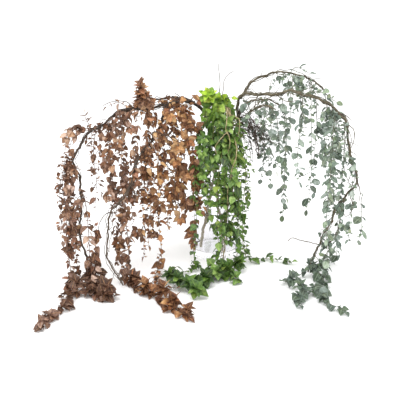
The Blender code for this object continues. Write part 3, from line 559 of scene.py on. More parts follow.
GREEN_ROSETTES = (
    Rosette((-0.022, -0.038, 0.498), (-0.3, -0.6, 0.8), 9, 1.05),
    Rosette((-0.034, -0.036, 0.482), (-0.6, -0.7, 0.4), 8, 1.0),
    Rosette((-0.012, -0.044, 0.486), (0.0, -0.8, 0.6), 8, 0.95),
    Rosette((0.014, -0.042, 0.482), (0.3, -0.7, 0.6), 7, 0.9),
    Rosette((0.026, -0.098, 0.430), (0.0, -1.0, 0.3), 9, 1.1),
    Rosette((-0.006, -0.088, 0.395), (-0.2, -1.0, 0.3), 9, 1.1),
    Rosette((0.020, -0.115, 0.350), (0.1, -1.0, 0.2), 9, 1.05),
    Rosette((-0.034, -0.130, 0.388), (-0.2, -1.0, 0.2), 8, 0.95),
    Rosette((-0.040, -0.138, 0.352), (-0.3, -1.0, 0.1), 8, 0.95),
    Rosette((-0.034, -0.138, 0.318), (-0.2, -1.0, 0.1), 8, 1.0),
    Rosette((-0.038, -0.136, 0.286), (-0.2, -1.0, 0.1), 8, 0.9),
    Rosette((-0.010, -0.135, 0.320), (0.0, -1.0, 0.1), 8, 1.0),
    Rosette((0.050, -0.125, 0.330), (0.3, -1.0, 0.2), 9, 1.0),
    Rosette((0.012, -0.130, 0.270), (-0.2, -1.0, 0.2), 9, 1.05),
    Rosette((0.030, -0.135, 0.225), (0.0, -1.0, 0.2), 9, 1.0),
    Rosette((0.055, -0.132, 0.190), (0.1, -1.0, 0.2), 8, 1.0),
    Rosette((-0.052, -0.340, 0.030), (0.1, -0.9, 0.6), 9, 1.2),
    Rosette((-0.075, -0.300, 0.030), (-0.2, -0.9, 0.6), 8, 1.15),
    Rosette((-0.105, -0.270, 0.030), (-0.3, -0.8, 0.6), 8, 1.15),
    Rosette((-0.130, -0.235, 0.028), (-0.5, -0.8, 0.5), 8, 1.1),
    Rosette((-0.028, -0.262, 0.030), (0.0, -0.9, 0.6), 9, 1.15),
    Rosette((0.000, -0.225, 0.032), (0.0, -0.9, 0.6), 8, 1.05),
    Rosette((0.026, -0.195, 0.034), (0.0, -0.9, 0.5), 9, 1.1),
    Rosette((0.066, -0.165, 0.034), (0.3, -0.9, 0.5), 8, 1.05),
)
GREY_ROSETTES = (
    Rosette((0.172, -0.085, 0.385), (0.0, -1.0, 0.2), 8, 0.8),
    Rosette((0.300, -0.060, 0.400), (0.2, -1.0, 0.1), 7, 0.85),
    Rosette((0.335, -0.130, 0.345), (0.1, -1.0, 0.2), 7, 0.8),
    Rosette((0.345, -0.165, 0.200), (0.0, -1.0, 0.1), 7, 0.75),
    Rosette((0.362, -0.180, 0.150), (0.2, -1.0, 0.1), 7, 0.75),
    Rosette((0.335, -0.172, 0.120), (0.0, -1.0, 0.1), 7, 0.8),
    Rosette((0.376, -0.180, 0.212), (0.2, -1.0, 0.1), 7, 0.75),
    Rosette((0.205, -0.275, 0.034), (-0.3, -0.9, 0.5), 9, 1.1),
    Rosette((0.225, -0.325, 0.034), (0.0, -0.9, 0.5), 8, 1.0),
    Rosette((0.272, -0.200, 0.034), (-0.1, -0.9, 0.5), 8, 1.0),
    Rosette((0.305, -0.195, 0.036), (0.3, -0.9, 0.5), 8, 1.0),
)

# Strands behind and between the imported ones.
BROWN_FILLERS = (
    Spray("trunk", (
        (-0.360, -0.145, 0.430), (-0.398, -0.150, 0.420), (-0.412, -0.155, 0.380), (-0.416, -0.165, 0.300),
        (-0.410, -0.170, 0.240))),
    Spray("trunk", (
        (-0.325, -0.130, 0.425), (-0.342, -0.134, 0.405), (-0.345, -0.134, 0.350), (-0.347, -0.134, 0.290),
        (-0.346, -0.136, 0.250))),
    Spray("trunk", (
        (-0.345, -0.140, 0.415), (-0.380, -0.165, 0.415), (-0.402, -0.185, 0.350), (-0.398, -0.190, 0.250),
        (-0.402, -0.196, 0.180))),
    Fall("trunk", (-0.425, -0.215), 0.120),
    Fall("trunk", (-0.385, -0.235), 0.040),
    Fall("trunk", (-0.408, -0.228), 0.060),
    Fall("trunk", (-0.325, -0.120), 0.230),
    Fall("trunk", (-0.262, -0.120), 0.230),
    Fall("trunk", (-0.295, -0.140), 0.260),
    Fall("trunk", (-0.278, -0.110), 0.330),
    Fall("front_fork", (-0.190, -0.150), 0.080),
    Fall("trunk", (-0.192, -0.060), 0.250),
    Fall("front_fork", (-0.150, -0.110), 0.200),
    Fall("trunk", (-0.122, -0.040), 0.180),
    Fall("trunk", (-0.086, -0.090), 0.170),
    Fall("trunk", (-0.068, -0.040), 0.160),
    Fall("front_fork", (-0.205, -0.160), 0.050),
    Fall("front_fork", (-0.235, -0.130), 0.120),
    Fall("front_fork", (-0.180, -0.115), 0.120),
    Fall("front_fork", (-0.262, -0.165), 0.060),
    Fall("front_fork", (-0.280, -0.180), 0.040),
    Fall("front_fork", (-0.160, -0.140), 0.150),
)
GREEN_FILLERS = (
    Fall("front_vine", (0.070, -0.120), 0.120),
    Fall("trunk", (0.004, -0.128), 0.210),
    Fall("front_vine", (0.045, -0.150), 0.090),
    Fall("front_vine", (0.024, -0.155), 0.100),
    Fall("back_vine", (0.070, 0.060), 0.180),
    Fall("front_vine", (0.088, -0.070), 0.100),
)
GREY_FILLERS = (
    Fall("top_arch", (0.260, 0.020), 0.350),
    Fall("trunk", (0.310, -0.110), 0.280),
    Fall("low_fork", (0.172, -0.100), 0.310),
    Fall("trunk", (0.345, -0.180), 0.150),
    Fall("trunk", (0.352, -0.150), 0.190),
    Fall("trunk", (0.322, -0.165), 0.110),
    Fall("trunk", (0.330, -0.140), 0.230),
    Fall("trunk", (0.372, -0.185), 0.110),
)

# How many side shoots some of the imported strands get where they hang, and where they lie on the surface.
HANGING_SHOOTS = {
    "brown_strand_01": 4, "brown_strand_02": 5, "brown_strand_03": 3, "brown_strand_06": 4,
    "brown_strand_07": 4, "brown_strand_09": 3, "brown_strand_10": 5, "brown_strand_12": 6,
    "brown_strand_13": 6, "brown_strand_14": 6, "brown_tuft": 3, "green_strand_01": 3,
    "green_strand_02": 6, "green_strand_03": 3, "green_strand_04": 4, "green_strand_05": 4,
    "grey_strand_07": 2, "grey_strand_09": 3,
}
LYING_SHOOTS = {
    "brown_strand_02": 10, "brown_strand_03": 5, "brown_strand_09": 3, "brown_strand_10": 1,
    "brown_strand_16": 2, "green_strand_03": 4, "green_strand_04": 5, "green_strand_06": 2,
    "grey_strand_13": 4, "grey_left_trail": 1, "grey_right_trail": 1,
}
# Strands whose leaves differ from the rest: how large they are, and the noise above which pairs are large.
LEAF_HABITS = {
    "brown_strand_01": Habit(0.85, 0.25), "brown_strand_02": Habit(0.85, 0.25),
    "brown_strand_04": Habit(0.75, 0.6), "brown_strand_10": Habit(0.72, 0.3),
    "brown_strand_11": Habit(0.8, 0.2), "brown_crown_left": Habit(0.7, 0.4),
    "brown_crown_middle": Habit(0.6, 0.5), "brown_crown_right": Habit(0.5, 0.5),
    "green_strand_05": Habit(0.66, 0.4), "green_strand_06": Habit(0.62, 0.4),
    "green_strand_07": Habit(0.9, 0.0), "grey_strand_03": Habit(0.85, 0.0),
    "grey_strand_06": Habit(0.8, 0.3), "grey_strand_11": Habit(0.7, 0.5),
    "grey_left_trail": Habit(0.85, 0.0), "grey_crown_back": Habit(0.5, 0.5),
    "grey_crown_front": Habit(0.75, 0.3),
}

# Bare twigs that join one place on the wood to another, and how far they sag.
GREY_RUNGS = (
    Rung((0.150, -0.042, 0.494), (0.176, 0.062, 0.536), -0.008),
    Rung((0.210, -0.072, 0.510), (0.235, 0.090, 0.530), -0.006),
    Rung((0.110, -0.052, 0.455), (0.165, -0.050, 0.496), 0.006),
    Rung((0.262, -0.094, 0.498), (0.290, 0.105, 0.508), -0.010),
)
# Bare vines: fine dark ones in front of the brown leaves, pale ones that run down in front of the green
# leaves, and the thin arches and the forks of the grey one's fall.
BROWN_VINES = (
    ((-0.160, -0.120, 0.430), (-0.142, -0.138, 0.405), (-0.120, -0.142, 0.388), (-0.098, -0.140, 0.378)),
    ((-0.152, -0.125, 0.392), (-0.128, -0.140, 0.402), (-0.104, -0.142, 0.384)),
    ((-0.190, -0.125, 0.396), (-0.168, -0.138, 0.410), (-0.142, -0.140, 0.398), (-0.128, -0.138, 0.362)),
    ((-0.128, -0.138, 0.330), (-0.116, -0.140, 0.280), (-0.120, -0.138, 0.236)),
    ((-0.210, -0.130, 0.340), (-0.196, -0.140, 0.300), (-0.200, -0.142, 0.252), (-0.190, -0.140, 0.215)),
)
GREEN_VINES = (
    ((0.030, -0.060, 0.478), (0.031, -0.110, 0.462), (0.027, -0.128, 0.436), (0.025, -0.132, 0.415),
     (0.034, -0.140, 0.398), (0.038, -0.142, 0.374), (0.032, -0.142, 0.351), (0.042, -0.148, 0.325)),
    ((0.024, -0.132, 0.410), (0.021, -0.140, 0.402), (0.005, -0.141, 0.380), (-0.004, -0.141, 0.366),
     (0.001, -0.138, 0.345)),
    ((0.042, -0.112, 0.400), (0.056, -0.138, 0.372), (0.055, -0.150, 0.345), (0.047, -0.152, 0.321),
     (0.039, -0.152, 0.292), (0.038, -0.150, 0.266), (0.033, -0.150, 0.239), (0.031, -0.150, 0.205)),
    ((0.046, -0.080, 0.455), (0.063, -0.100, 0.437), (0.065, -0.106, 0.411), (0.056, -0.112, 0.377)),
)
GREY_VINES = (
    ((0.070, -0.030, 0.420), (0.100, -0.055, 0.455), (0.130, -0.060, 0.480), (0.165, -0.050, 0.493)),
    ((0.076, -0.040, 0.425), (0.102, -0.060, 0.449), (0.122, -0.066, 0.447), (0.148, -0.070, 0.443)),
    ((0.102, -0.055, 0.456), (0.112, -0.050, 0.475), (0.118, -0.045, 0.490), (0.126, -0.045, 0.503)),
    ((0.166, -0.050, 0.493), (0.197, -0.062, 0.480), (0.231, -0.066, 0.482), (0.250, -0.070, 0.472)),
    ((0.389, -0.165, 0.271), (0.371, -0.176, 0.238), (0.379, -0.178, 0.208), (0.367, -0.178, 0.179),
     (0.352, -0.176, 0.194), (0.340, -0.170, 0.222)),
    ((0.355, -0.130, 0.435), (0.376, -0.146, 0.410), (0.372, -0.150, 0.372), (0.352, -0.150, 0.330),
     (0.358, -0.156, 0.290), (0.372, -0.160, 0.262)),
    ((0.340, -0.165, 0.205), (0.346, -0.176, 0.165), (0.338, -0.184, 0.125), (0.316, -0.186, 0.098)),
    ((0.312, -0.170, 0.140), (0.322, -0.182, 0.100), (0.306, -0.190, 0.060), (0.296, -0.196, 0.024)),
)

PLANTS = {
    "brown": Plant(BROWN_WOOD, BROWN_FALLS, BROWN_SPRAYS, BROWN_CROWNS, BROWN_ROSETTES, BROWN_FILLERS,
                   (), BROWN_VINES, 0.020, 0.95, 0.06, 11),
    "green": Plant(GREEN_WOOD, GREEN_FALLS, GREEN_SPRAYS, GREEN_CROWNS, GREEN_ROSETTES, GREEN_FILLERS,
                   (), GREEN_VINES, 0.021, 0.98, 0.0, 23),
    "grey": Plant(GREY_WOOD, GREY_FALLS, GREY_SPRAYS, GREY_CROWNS, GREY_ROSETTES, GREY_FILLERS,
                  GREY_RUNGS, GREY_VINES, 0.020, 0.86, 0.12, 37),
}

# Outlines of a blade: share of the length, and of the half width there.
POINTED = ((0.0, 0.035), (0.08, 0.07), (0.18, 0.72), (0.34, 1.0), (0.56, 0.88), (0.80, 0.46), (1.0, 0.0))
ROUNDED = ((0.0, 0.03), (0.10, 0.08), (0.22, 0.64), (0.42, 0.98), (0.64, 1.0), (0.86, 0.62), (1.0, 0.0))
HEARTED = ((0.0, 0.04), (0.07, 0.34), (0.17, 0.93), (0.32, 1.0), (0.54, 0.80), (0.79, 0.42), (1.0, 0.0))
OUTLINES = {"brown": POINTED, "green": POINTED, "grey": ROUNDED}

# Blades, one unit long: width, how far the sides cup and fold up, the tip's droop and sideways curl, and
# waves.
BLADES = (
    Blade("flat", 1.00, 0.02, 0.03, 0.12, 0.02, 0.02),
    Blade("cupped", 0.95, 0.14, 0.08, 0.12, -0.03, 0.03),
    Blade("folded", 0.92, 0.02, 0.20, 0.16, 0.04, 0.02),
    Blade("round", 1.10, 0.08, 0.03, 0.08, -0.02, 0.04),
    Blade("rolled", 0.90, -0.12, 0.06, 0.20, 0.05, 0.03),
)
# The broader blades of the leaves that lie on the surface.
BROAD_BLADES = (
    Blade("broad flat", 1.25, 0.03, 0.06, 0.10, 0.03, 0.05),
    Blade("broad folded", 1.18, 0.02, 0.16, 0.14, -0.04, 0.05),
    Blade("broad wavy", 1.32, 0.06, 0.04, 0.08, 0.02, 0.08),
)


# Colours as they show on the leaves and the wood, in bytes, from dark to pale.
LEAF_STOPS = (0.0, 0.3, 0.65, 1.0)
STEM_STOPS = (0.0, 0.6, 1.0)
BARK_STOPS = (0.0, 0.5, 1.0)
LEAF_LOOKS = {
    "brown": LeafLook(
        young=((74, 38, 16), (132, 84, 46), (176, 130, 82), (204, 168, 120)),
        old=((50, 30, 24), (92, 66, 56), (140, 114, 102), (190, 166, 152)),
        rib=(196, 150, 100), rib_share=0.40, rim=(74, 24, 10), rim_share=0.65,
        under=(160, 124, 96), under_share=0.28, bloom=(190, 168, 150), bloom_share=0.04,
        blotches=0.60, blush=(214, 160, 140), blush_share=0.65, roughness=(0.42, 0.64), gloss=0.30,
        vein_count=9.0),
    "green": LeafLook(
        young=((90, 128, 12), (132, 170, 24), (168, 198, 46), (206, 212, 80)),
        old=((20, 42, 6), (48, 79, 16), (88, 122, 38), (142, 168, 90)),
        rib=(158, 184, 90), rib_share=0.30, rim=(36, 54, 14), rim_share=0.35,
        under=(108, 146, 84), under_share=0.30, bloom=(150, 176, 136), bloom_share=0.05,
        blotches=0.5, blush=(226, 206, 120), blush_share=0.6, roughness=(0.34, 0.54), gloss=0.40,
        vein_count=9.0),
    "grey": LeafLook(
        young=((48, 70, 26), (80, 104, 50), (114, 136, 80), (150, 168, 120)),
        old=((34, 48, 34), (80, 96, 82), (130, 142, 132), (178, 186, 182)),
        rib=(176, 190, 172), rib_share=0.4, rim=(66, 78, 58), rim_share=0.5,
        under=(156, 172, 164), under_share=0.30, bloom=(194, 206, 202), bloom_share=0.12,
        blotches=0.5, blush=(222, 212, 170), blush_share=0.7, roughness=(0.55, 0.75), gloss=0.30,
        vein_count=8.0),
}
# Fibres from dark to pale, patches and their share, cracks and their share, roughness, and fibres to a metre.
STEM_LOOKS = {
    "brown": BarkLook(((60, 36, 26), (104, 66, 46), (142, 102, 76)), (136, 98, 74), 0.3, (40, 26, 20), 0.4,
                      (0.5, 0.7), 900.0),
    "green": BarkLook(((78, 72, 34), (120, 114, 58), (160, 154, 96)), (104, 124, 56), 0.4, (58, 52, 30), 0.3,
                      (0.5, 0.7), 900.0),
    "grey": BarkLook(((72, 66, 54), (112, 108, 92), (150, 148, 134)), (118, 130, 108), 0.5, (50, 44, 36), 0.3,
                     (0.55, 0.75), 900.0),
}
BARK_LOOKS = {
    "brown": BarkLook(((36, 27, 21), (66, 51, 41), (112, 92, 76)), (104, 90, 78), 0.35, (20, 15, 12), 0.6,
                      (0.65, 0.9), 500.0, low_share=0.30),
    "green": BarkLook(((136, 116, 80), (184, 164, 122), (220, 204, 166)), (172, 166, 116), 0.35,
                      (96, 78, 54), 0.35, (0.6, 0.85), 500.0),
    "grey": BarkLook(((52, 42, 28), (96, 82, 60), (148, 136, 110)), (140, 140, 118), 0.4, (40, 32, 24), 0.6,
                     (0.65, 0.9), 500.0),
}
TWIG_LOOK = BarkLook(((58, 44, 36), (100, 82, 70), (144, 126, 110)), (112, 106, 94), 0.3, (30, 24, 20), 0.5,
                     (0.65, 0.9), 700.0)
# The wood is paler where it hangs low, and where it stands in the vase.
LOW_TINT = (132, 116, 98)
LOW_HEIGHTS = (0.22, 0.42)
FOOT_TINT = (176, 168, 148)
FOOT_SHARE = 0.85
FOOT_FADE = (VASE_HEIGHT - 0.10, VASE_HEIGHT + 0.02)
FOOT_EDGE = 0.01
GLASS_TINTS = ((250, 250, 255), (254, 254, 255))
FLOOR_TINTS = ((251, 251, 251), (254, 254, 254))


def level(heading):
    """The level direction of a heading."""
    return Vector((math.cos(heading), math.sin(heading), 0))


def lengths_along(line):
    lengths = [0.0]
    for a, b in zip(line, line[1:]):
        lengths.append(lengths[-1] + (b - a).length)
    return lengths


def divided(line, count):
    """Points at even distances that divide a line of points in so many runs."""
    lengths = lengths_along(line)
    points, i = [line[0]], 0
    for n in range(1, count):
        wanted = lengths[-1] * n / count
        while lengths[i + 1] < wanted:
            i += 1
        points.append(line[i].lerp(line[i + 1], (wanted - lengths[i]) / (lengths[i + 1] - lengths[i])))
    return points + [line[-1]]


def spaced(line, step):
    """Points at even distances of about a step along a line of points."""
    return divided(line, max(2, round(lengths_along(line)[-1] / step)))


def curve_through(points, step):
    """Points about a step apart on one smooth curve through the given points."""
    knots = [Vector(p) for p in points]
    last = len(knots) - 1
    slopes = [(knots[min(i + 1, last)] - knots[max(i - 1, 0)]).normalized() for i in range(last + 1)]
    line = [knots[0]]
    for a, b, leave, reach in zip(knots, knots[1:], slopes, slopes[1:]):
        pull = (b - a).length / 3
        line += interpolate_bezier(a, a + leave * pull, b - reach * pull, b, CURVE_STEPS)[1:]
    return spaced(line, step)


def stubbed(points, step):
    """A curve whose first run stays straight."""
    return [Vector(points[0])] + curve_through(points[1:], step)


def nearest_on(routes, point):
    """The point nearest to the given one on any run of the routes."""
    spots = []
    for route in routes:
        for a, b in zip(route, route[1:]):
            share = intersect_point_line(point, a, b)[1]
            spots.append(a.lerp(b, min(max(share, 0), 1)))
    return min(spots, key=lambda spot: (spot - point).length)


def turned_nodes(places, along):
    """Each place with the route's direction there and a side that turns as little as can be."""
    side = along.orthogonal().normalized()
    nodes = []
    for i, place in enumerate(places):
        ahead = (places[min(i + 1, len(places) - 1)] - places[max(i - 1, 0)]).normalized()
        side = along.rotation_difference(ahead) @ side
        along = ahead
        nodes.append(Node(place, along, side))
    return nodes


def first_run(route):
    return (route[1] - route[0]).normalized()


def wood_routes(shoots, step):
    """Routes of the wood by shoot. Each shoot after the trunk starts on the one that lies nearest."""
    routes = {}
    for shoot in shoots:
        points = [Vector(p) for p in shoot.points]
        if routes:
            points[0] = nearest_on(routes.values(), points[0])
            routes[shoot.name] = curve_through(points, step or shoot.step)
        else:
            routes[shoot.name] = stubbed(points, step or shoot.step)
    return routes


def bark_places(shoot, route):
    """Places along a shoot where strands may leave, with its direction and radius there."""
    runs = len(route) - 1
    for i, (a, b) in enumerate(zip(route, route[1:])):
        for share in RUN_SHARES:
            radius = shoot.thick + (shoot.thin - shoot.thick) * (i + share) / runs
            yield Bark(a.lerp(b, share), (b - a).normalized(), radius)


def leave_bark(bark, towards):
    """Where a strand leaves the bark on its way, and the end of its first short straight run."""
    out = (towards - bark.along * towards.dot(bark.along)).normalized()
    start = bark.place + out * (bark.radius * TUBE_FACE + GAP)
    return start, start + out * STUB


def fall_points(fall, bark, move, heading):
    """A strand leaves the wood, arches over, hangs to its end, and trails along the surface if it is long."""
    foot = Vector((*fall.foot, 0)) + move
    start, stub = leave_bark(bark, Vector((foot.x - bark.place.x, foot.y - bark.place.y, -LEAVE_DROP)))
    across = Vector((foot.x - start.x, foot.y - start.y, 0))
    sway = level(heading) * SWAY
    drop = UP * (start.z - fall.end)
    points = [start, stub,
              start + across * ARCH_REACH + UP * ARCH_RISE * across.length - drop * ARCH_DROP,
              start + across - drop * KNEE_DROP,
              start + across + sway - drop * HANG_DROP,
              start + across - sway * 0.5 - drop]
    return points + [Vector((x, y, LIE_HEIGHT)) for x, y in fall.trail]


def spray_points(spray, bark, move):
    start, stub = leave_bark(bark, Vector(spray.points[0]) - bark.place)
    return [start, stub] + [Vector(p) + move for p in spray.points[1:]]


def ways_of(strand, barks, heading):
    """A strand's ways: from each place of the bark near by, to its foot or to one near by."""
    if isinstance(strand, Fall):
        foot = Vector(strand.foot)
        near = sorted(barks, key=lambda bark: (bark.place.xy - foot).length - HEIGHT_COUNTS * bark.place.z)
    else:
        first = Vector(strand.points[0])
        near = sorted(barks, key=lambda bark: (bark.place - first).length)
    for i in range(MOVES_TRIED):
        move = level(i * GOLDEN_ANGLE) * MOVE_STEP * math.sqrt(i)
        for bark in near[:BARKS_TRIED]:
            if isinstance(strand, Fall):
                yield fall_points(strand, bark, move, heading)
            else:
                yield spray_points(strand, bark, move)


def packed_strand(name, strand, barks, heading):
    """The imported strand: the way that it took, which lies in its mesh all along, and a tree of its faces."""
    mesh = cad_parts[name].data
    tree = BVHTree.FromPolygons([v.co for v in mesh.vertices], [list(p.vertices) for p in mesh.polygons])
    for points in ways_of(strand, barks, heading):
        route = stubbed(points, STEM_STEP)
        if all(tree.find_nearest(place)[3] < STEM_NEAR for place in route):
            return PackedStrand(name, points, route, tree)
    raise ValueError(f"{name} follows no way")


def packed_leaves(route, draw):
    """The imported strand's leaves: one at each node on alternate sides and then across, and one at the tip."""
    places = spaced(route, LEAF_SPACING)[1:]
    places[-1] = places[-1] + (places[-2] - places[-1]).normalized() * TIP_INSET
    nodes = turned_nodes(places, (places[0] - route[0]).normalized())
    start = draw.uniform(0, math.tau)
    for i, node in enumerate(nodes[:-1]):
        azimuth = start + (i % 2) * math.pi + (i // 2 % 2) * math.pi / 2
        azimuth += draw.uniform(-LEAF_STRAY, LEAF_STRAY)
        length = LEAF_LENGTH * draw.uniform(*LEAF_SIZES)
        yield Leaf(node, azimuth, draw.uniform(*LEAF_TILT), draw.uniform(-LEAF_ROLL, LEAF_ROLL), length)
    yield Leaf(nodes[-1], start, TIP_TILT, 0.0, LEAF_LENGTH * TIP_SIZE)


def mesh_of(work, name):
    mesh = bpy.data.meshes.new(name)
    work.to_mesh(mesh)
    work.free()
    return mesh


def stood(place, axis, face, roll, length, width=1.0):
    """The matrix of a leaf with its root at a place, along an axis, with its upper side to the face."""
    across = Matrix.Rotation(roll, 3, axis) @ face.cross(axis).normalized()
    face = axis.cross(across)
    stand = Matrix((axis, across * width, face)).transposed().to_4x4()
    return Matrix.Translation(place) @ stand @ Matrix.Scale(length, 4)


def leaf_matrix(leaf, turn):
    """Stands a packed leaf on its node, turned round the stem, tilted from it, and with its upper side up."""
    place, along, side = leaf.node
    radial = Matrix.Rotation(leaf.azimuth + turn, 3, along) @ side
    axis = (along * math.cos(leaf.tilt) + radial * math.sin(leaf.tilt)).normalized()
    face = along * math.sin(leaf.tilt) - radial * math.cos(leaf.tilt)
    face = -face if face.z < 0 else face
    if place.z < LEAF_LENGTH:
        face = face.lerp(UP - axis * axis.z, LIE_FLAT).normalized()
    return stood(place, axis, face, leaf.roll, leaf.length)


def hung_matrix(leaf, sag, width):
    """Stands a finer leaf on its node: it sags under its weight, and near the surface its tip rests there."""
    place, along, side = leaf.node
    radial = Matrix.Rotation(leaf.azimuth, 3, along) @ side
    axis = (along * math.cos(leaf.tilt) + radial * math.sin(leaf.tilt)).normalized()
    axis = axis.lerp(DOWN, sag).normalized()
    lowest = max((FLOOR_CLEAR - place.z) / leaf.length + TIP_ROOM, -1)
    if axis.z < lowest:
        out = Vector((axis.x, axis.y, 0)).normalized()
        axis = out * math.sqrt(1 - min(lowest, STEEPEST) ** 2) + UP * min(lowest, STEEPEST)
    face = along * math.sin(leaf.tilt) - radial * math.cos(leaf.tilt)
    face = -face if face.z < 0 else face
    if place.z < LYING_HEIGHT:
        face = UP
    face = (face - axis * face.dot(axis)).normalized()
    return stood(place, axis, face, leaf.roll, leaf.length, width)


def packed_stand(leaf, half_width, tree):
    """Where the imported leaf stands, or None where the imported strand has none: its tip and sides lie there."""
    best, found = PACKED_NEAR, None
    for turn in LEAF_TURNS:
        stand = leaf_matrix(leaf, turn)
        spots = ((1, 0, -LEAF_DROOP), (LEAF_WIDEST, half_width, 0), (LEAF_WIDEST, -half_width, 0))
        off = max(tree.find_nearest(stand @ Vector(spot))[3] for spot in spots)
        if off < best:
            best, found = off, stand
    return found


def shaped_blade(blade, outline, width):
    """A closed leaf one unit long, its root at the origin and its tip on +X, with a thin rim."""
    work = bmesh.new()
    where = work.verts.layers.float_vector.new("blade")
    work.verts.layers.float_vector.new("kind")
    bmesh.ops.create_grid(work, x_segments=BLADE_RUNS, y_segments=BLADE_COLUMNS, size=0.5)
    for vert in work.verts:
        share, half = outline[round((vert.co.x + 0.5) * BLADE_RUNS)]
        half *= width * blade.width / 2
        out = vert.co.y * 2
        lift = (blade.cup * out * out + blade.fold * abs(out)) * half * 2
        phase = BLADE_WAVES * share + BLADE_WAVE_SLANT * out
        wave = blade.wave * math.sin(phase) * abs(out) * math.sqrt(half)
        vert[where] = (share, out, 1.0)
        vert.co = (share, out * half + blade.curl * share ** 2, lift + wave - blade.droop * share ** 2)
    bmesh.ops.remove_doubles(work, verts=work.verts, dist=MERGE)
    upper = bmesh.ops.extrude_face_region(work, geom=work.faces[:])
    for vert in (piece for piece in upper["geom"] if isinstance(piece, bmesh.types.BMVert)):
        share, out, _ = vert[where]
        if abs(out) < BLADE_RIM and 0 < share < 1:
            vert.co.z += BLADE_THICKNESS / LEAF_LENGTH
            vert[where] = (share, out, 0.0)
    bmesh.ops.remove_doubles(work, verts=work.verts, dist=MERGE)
    bmesh.ops.recalc_face_normals(work, faces=work.faces)
    for edge in work.edges:
        edge.smooth = edge.calc_face_angle(0) < BLADE_RIM_ANGLE
    for face in work.faces:
        face.smooth = True
    return mesh_of(work, "blade")


def leaf_kind(colour, place, draw):
    """A leaf's tone at a place, from dark to pale, its age from young to old, and a number of its own."""
    patches = [noise.noise(place * scale) * share for scale, share in zip(PATCH_SCALES, PATCH_SHARES)]
    tone, age = draw.gauss(0.5, TONE_SPREAD) + patches[0], draw.gauss(0, AGE_SPREAD) + patches[1]
    lying = place.z < LYING_HEIGHT
    if colour == "brown":
        left = min(max((-place.x - LEFT_START) / LEFT_START, 0), 1)
        age += left - BROWN_YOUTH + (FAR_LEFT_AGE if lying and place.x < FAR_LEFT else 0)
        tone -= BROWN_LYING_TONE if lying else LEFT_TONE * left
        # Painted shade: brown leaves deep in the crown get a darker tone and older, darker colours.
        if place.x > DEEP_CROWN[0] and place.z < DEEP_CROWN[1]:
            tone, age = tone - CROWN_SHADE_TONE, age + CROWN_SHADE_AGE
    elif colour == "green":
        age = age * GREEN_AGE_SHARE + 1 - (place.z - GREEN_TOP) / GREEN_TOP_DEPTH
        tone -= GREEN_LYING_TONES[place.x >= GREEN_LEFT] if lying else 0
    else:
        age += GREY_AGE
        tone -= GREY_LYING_TONE if lying else 0
    return min(max(tone, 0), 1), min(max(age, 0), 1), draw.random()


def add_leaf(foliage, stand, kind):
    """Adds a copy of one of the blades, raised a little where it would dip into the surface."""
    shapes = foliage.broad if stand.translation.z < LYING_HEIGHT else foliage.blades
    shape = shapes[int(kind[2] * len(shapes))]
    if stand.translation.z < LYING_HEIGHT:
        dip = FLOOR_CLEAR - min((stand @ vert.co).z for vert in shape.vertices)
        if dip > 0:
            stand = Matrix.Translation(UP * dip) @ stand
    mesh = shape.copy()
    mesh.transform(stand)
    mesh.attributes["kind"].data.foreach_set("vector", list(kind) * len(mesh.vertices))
    add_mesh(foliage.work, mesh)


def add_pair(foliage, node, azimuth, length, tilts):
    """Two leaves on opposite sides of a node."""
    draw = foliage.draw
    for side in (0, math.pi):
        if draw.random() < PAIR_MISSING:
            continue
        stray = draw.uniform(-LEAF_STRAY, LEAF_STRAY)
        leaf = Leaf(node, azimuth + side + stray, draw.uniform(*tilts), draw.uniform(-PAIR_ROLL, PAIR_ROLL),
                    length * draw.uniform(*PAIR_LENGTHS))
        stand = hung_matrix(leaf, PAIR_SAG, draw.uniform(*PAIR_WIDTHS))
        add_leaf(foliage, stand, leaf_kind(foliage.colour, node.place, draw))


def add_stretch(foliage, nodes, azimuth, size, split):
    """Pairs on a run of nodes, turned across each other. Small ones stand out, and large ones hang."""
    for i, node in enumerate(nodes):
        shrink = 1 - TIP_SHRINK * (i / len(nodes)) ** 3
        habit = noise.noise(node.place * HABIT_SCALE + Vector((foliage.half_width * HABIT_SHIFT, 0, 0)))
        large = habit > split or node.place.z < LYING_HEIGHT
        length = LEAF_LENGTH * size * shrink * foliage.draw.uniform(*(LARGE_SIZES if large else SMALL_SIZES))
        tilts = LARGE_TILT if large else SMALL_TILT
        add_pair(foliage, node, azimuth + i * math.pi / 2, length, tilts)


def add_stem(work, line, radii, sides, material):
    """A thin stem along a line, which tapers evenly."""
    add_mesh(work, grown_tube(line, tapered(len(line), *radii), sides, material))


def add_shoot(foliage, route, size, split):
    """A thin leafy shoot along a route, with a single leaf at its tip."""
    add_stem(foliage.work, route, SHOOT_RADII, STEM_SIDES, 1)
    count = max(FEWEST_PAIRS, round(lengths_along(route)[-1] / PAIR_SPACING))
    nodes = turned_nodes(divided(route, count), first_run(route))[1:]
    add_stretch(foliage, nodes, foliage.draw.uniform(0, math.tau), size, split)
    roll = foliage.draw.uniform(-PAIR_ROLL, PAIR_ROLL)
    tip = Leaf(nodes[-1], 0.0, TIP_TILT, roll, LEAF_LENGTH * size * TIP_LEAF)
    add_leaf(foliage, hung_matrix(tip, 0.0, 1.0), leaf_kind(foliage.colour, nodes[-1].place, foliage.draw))


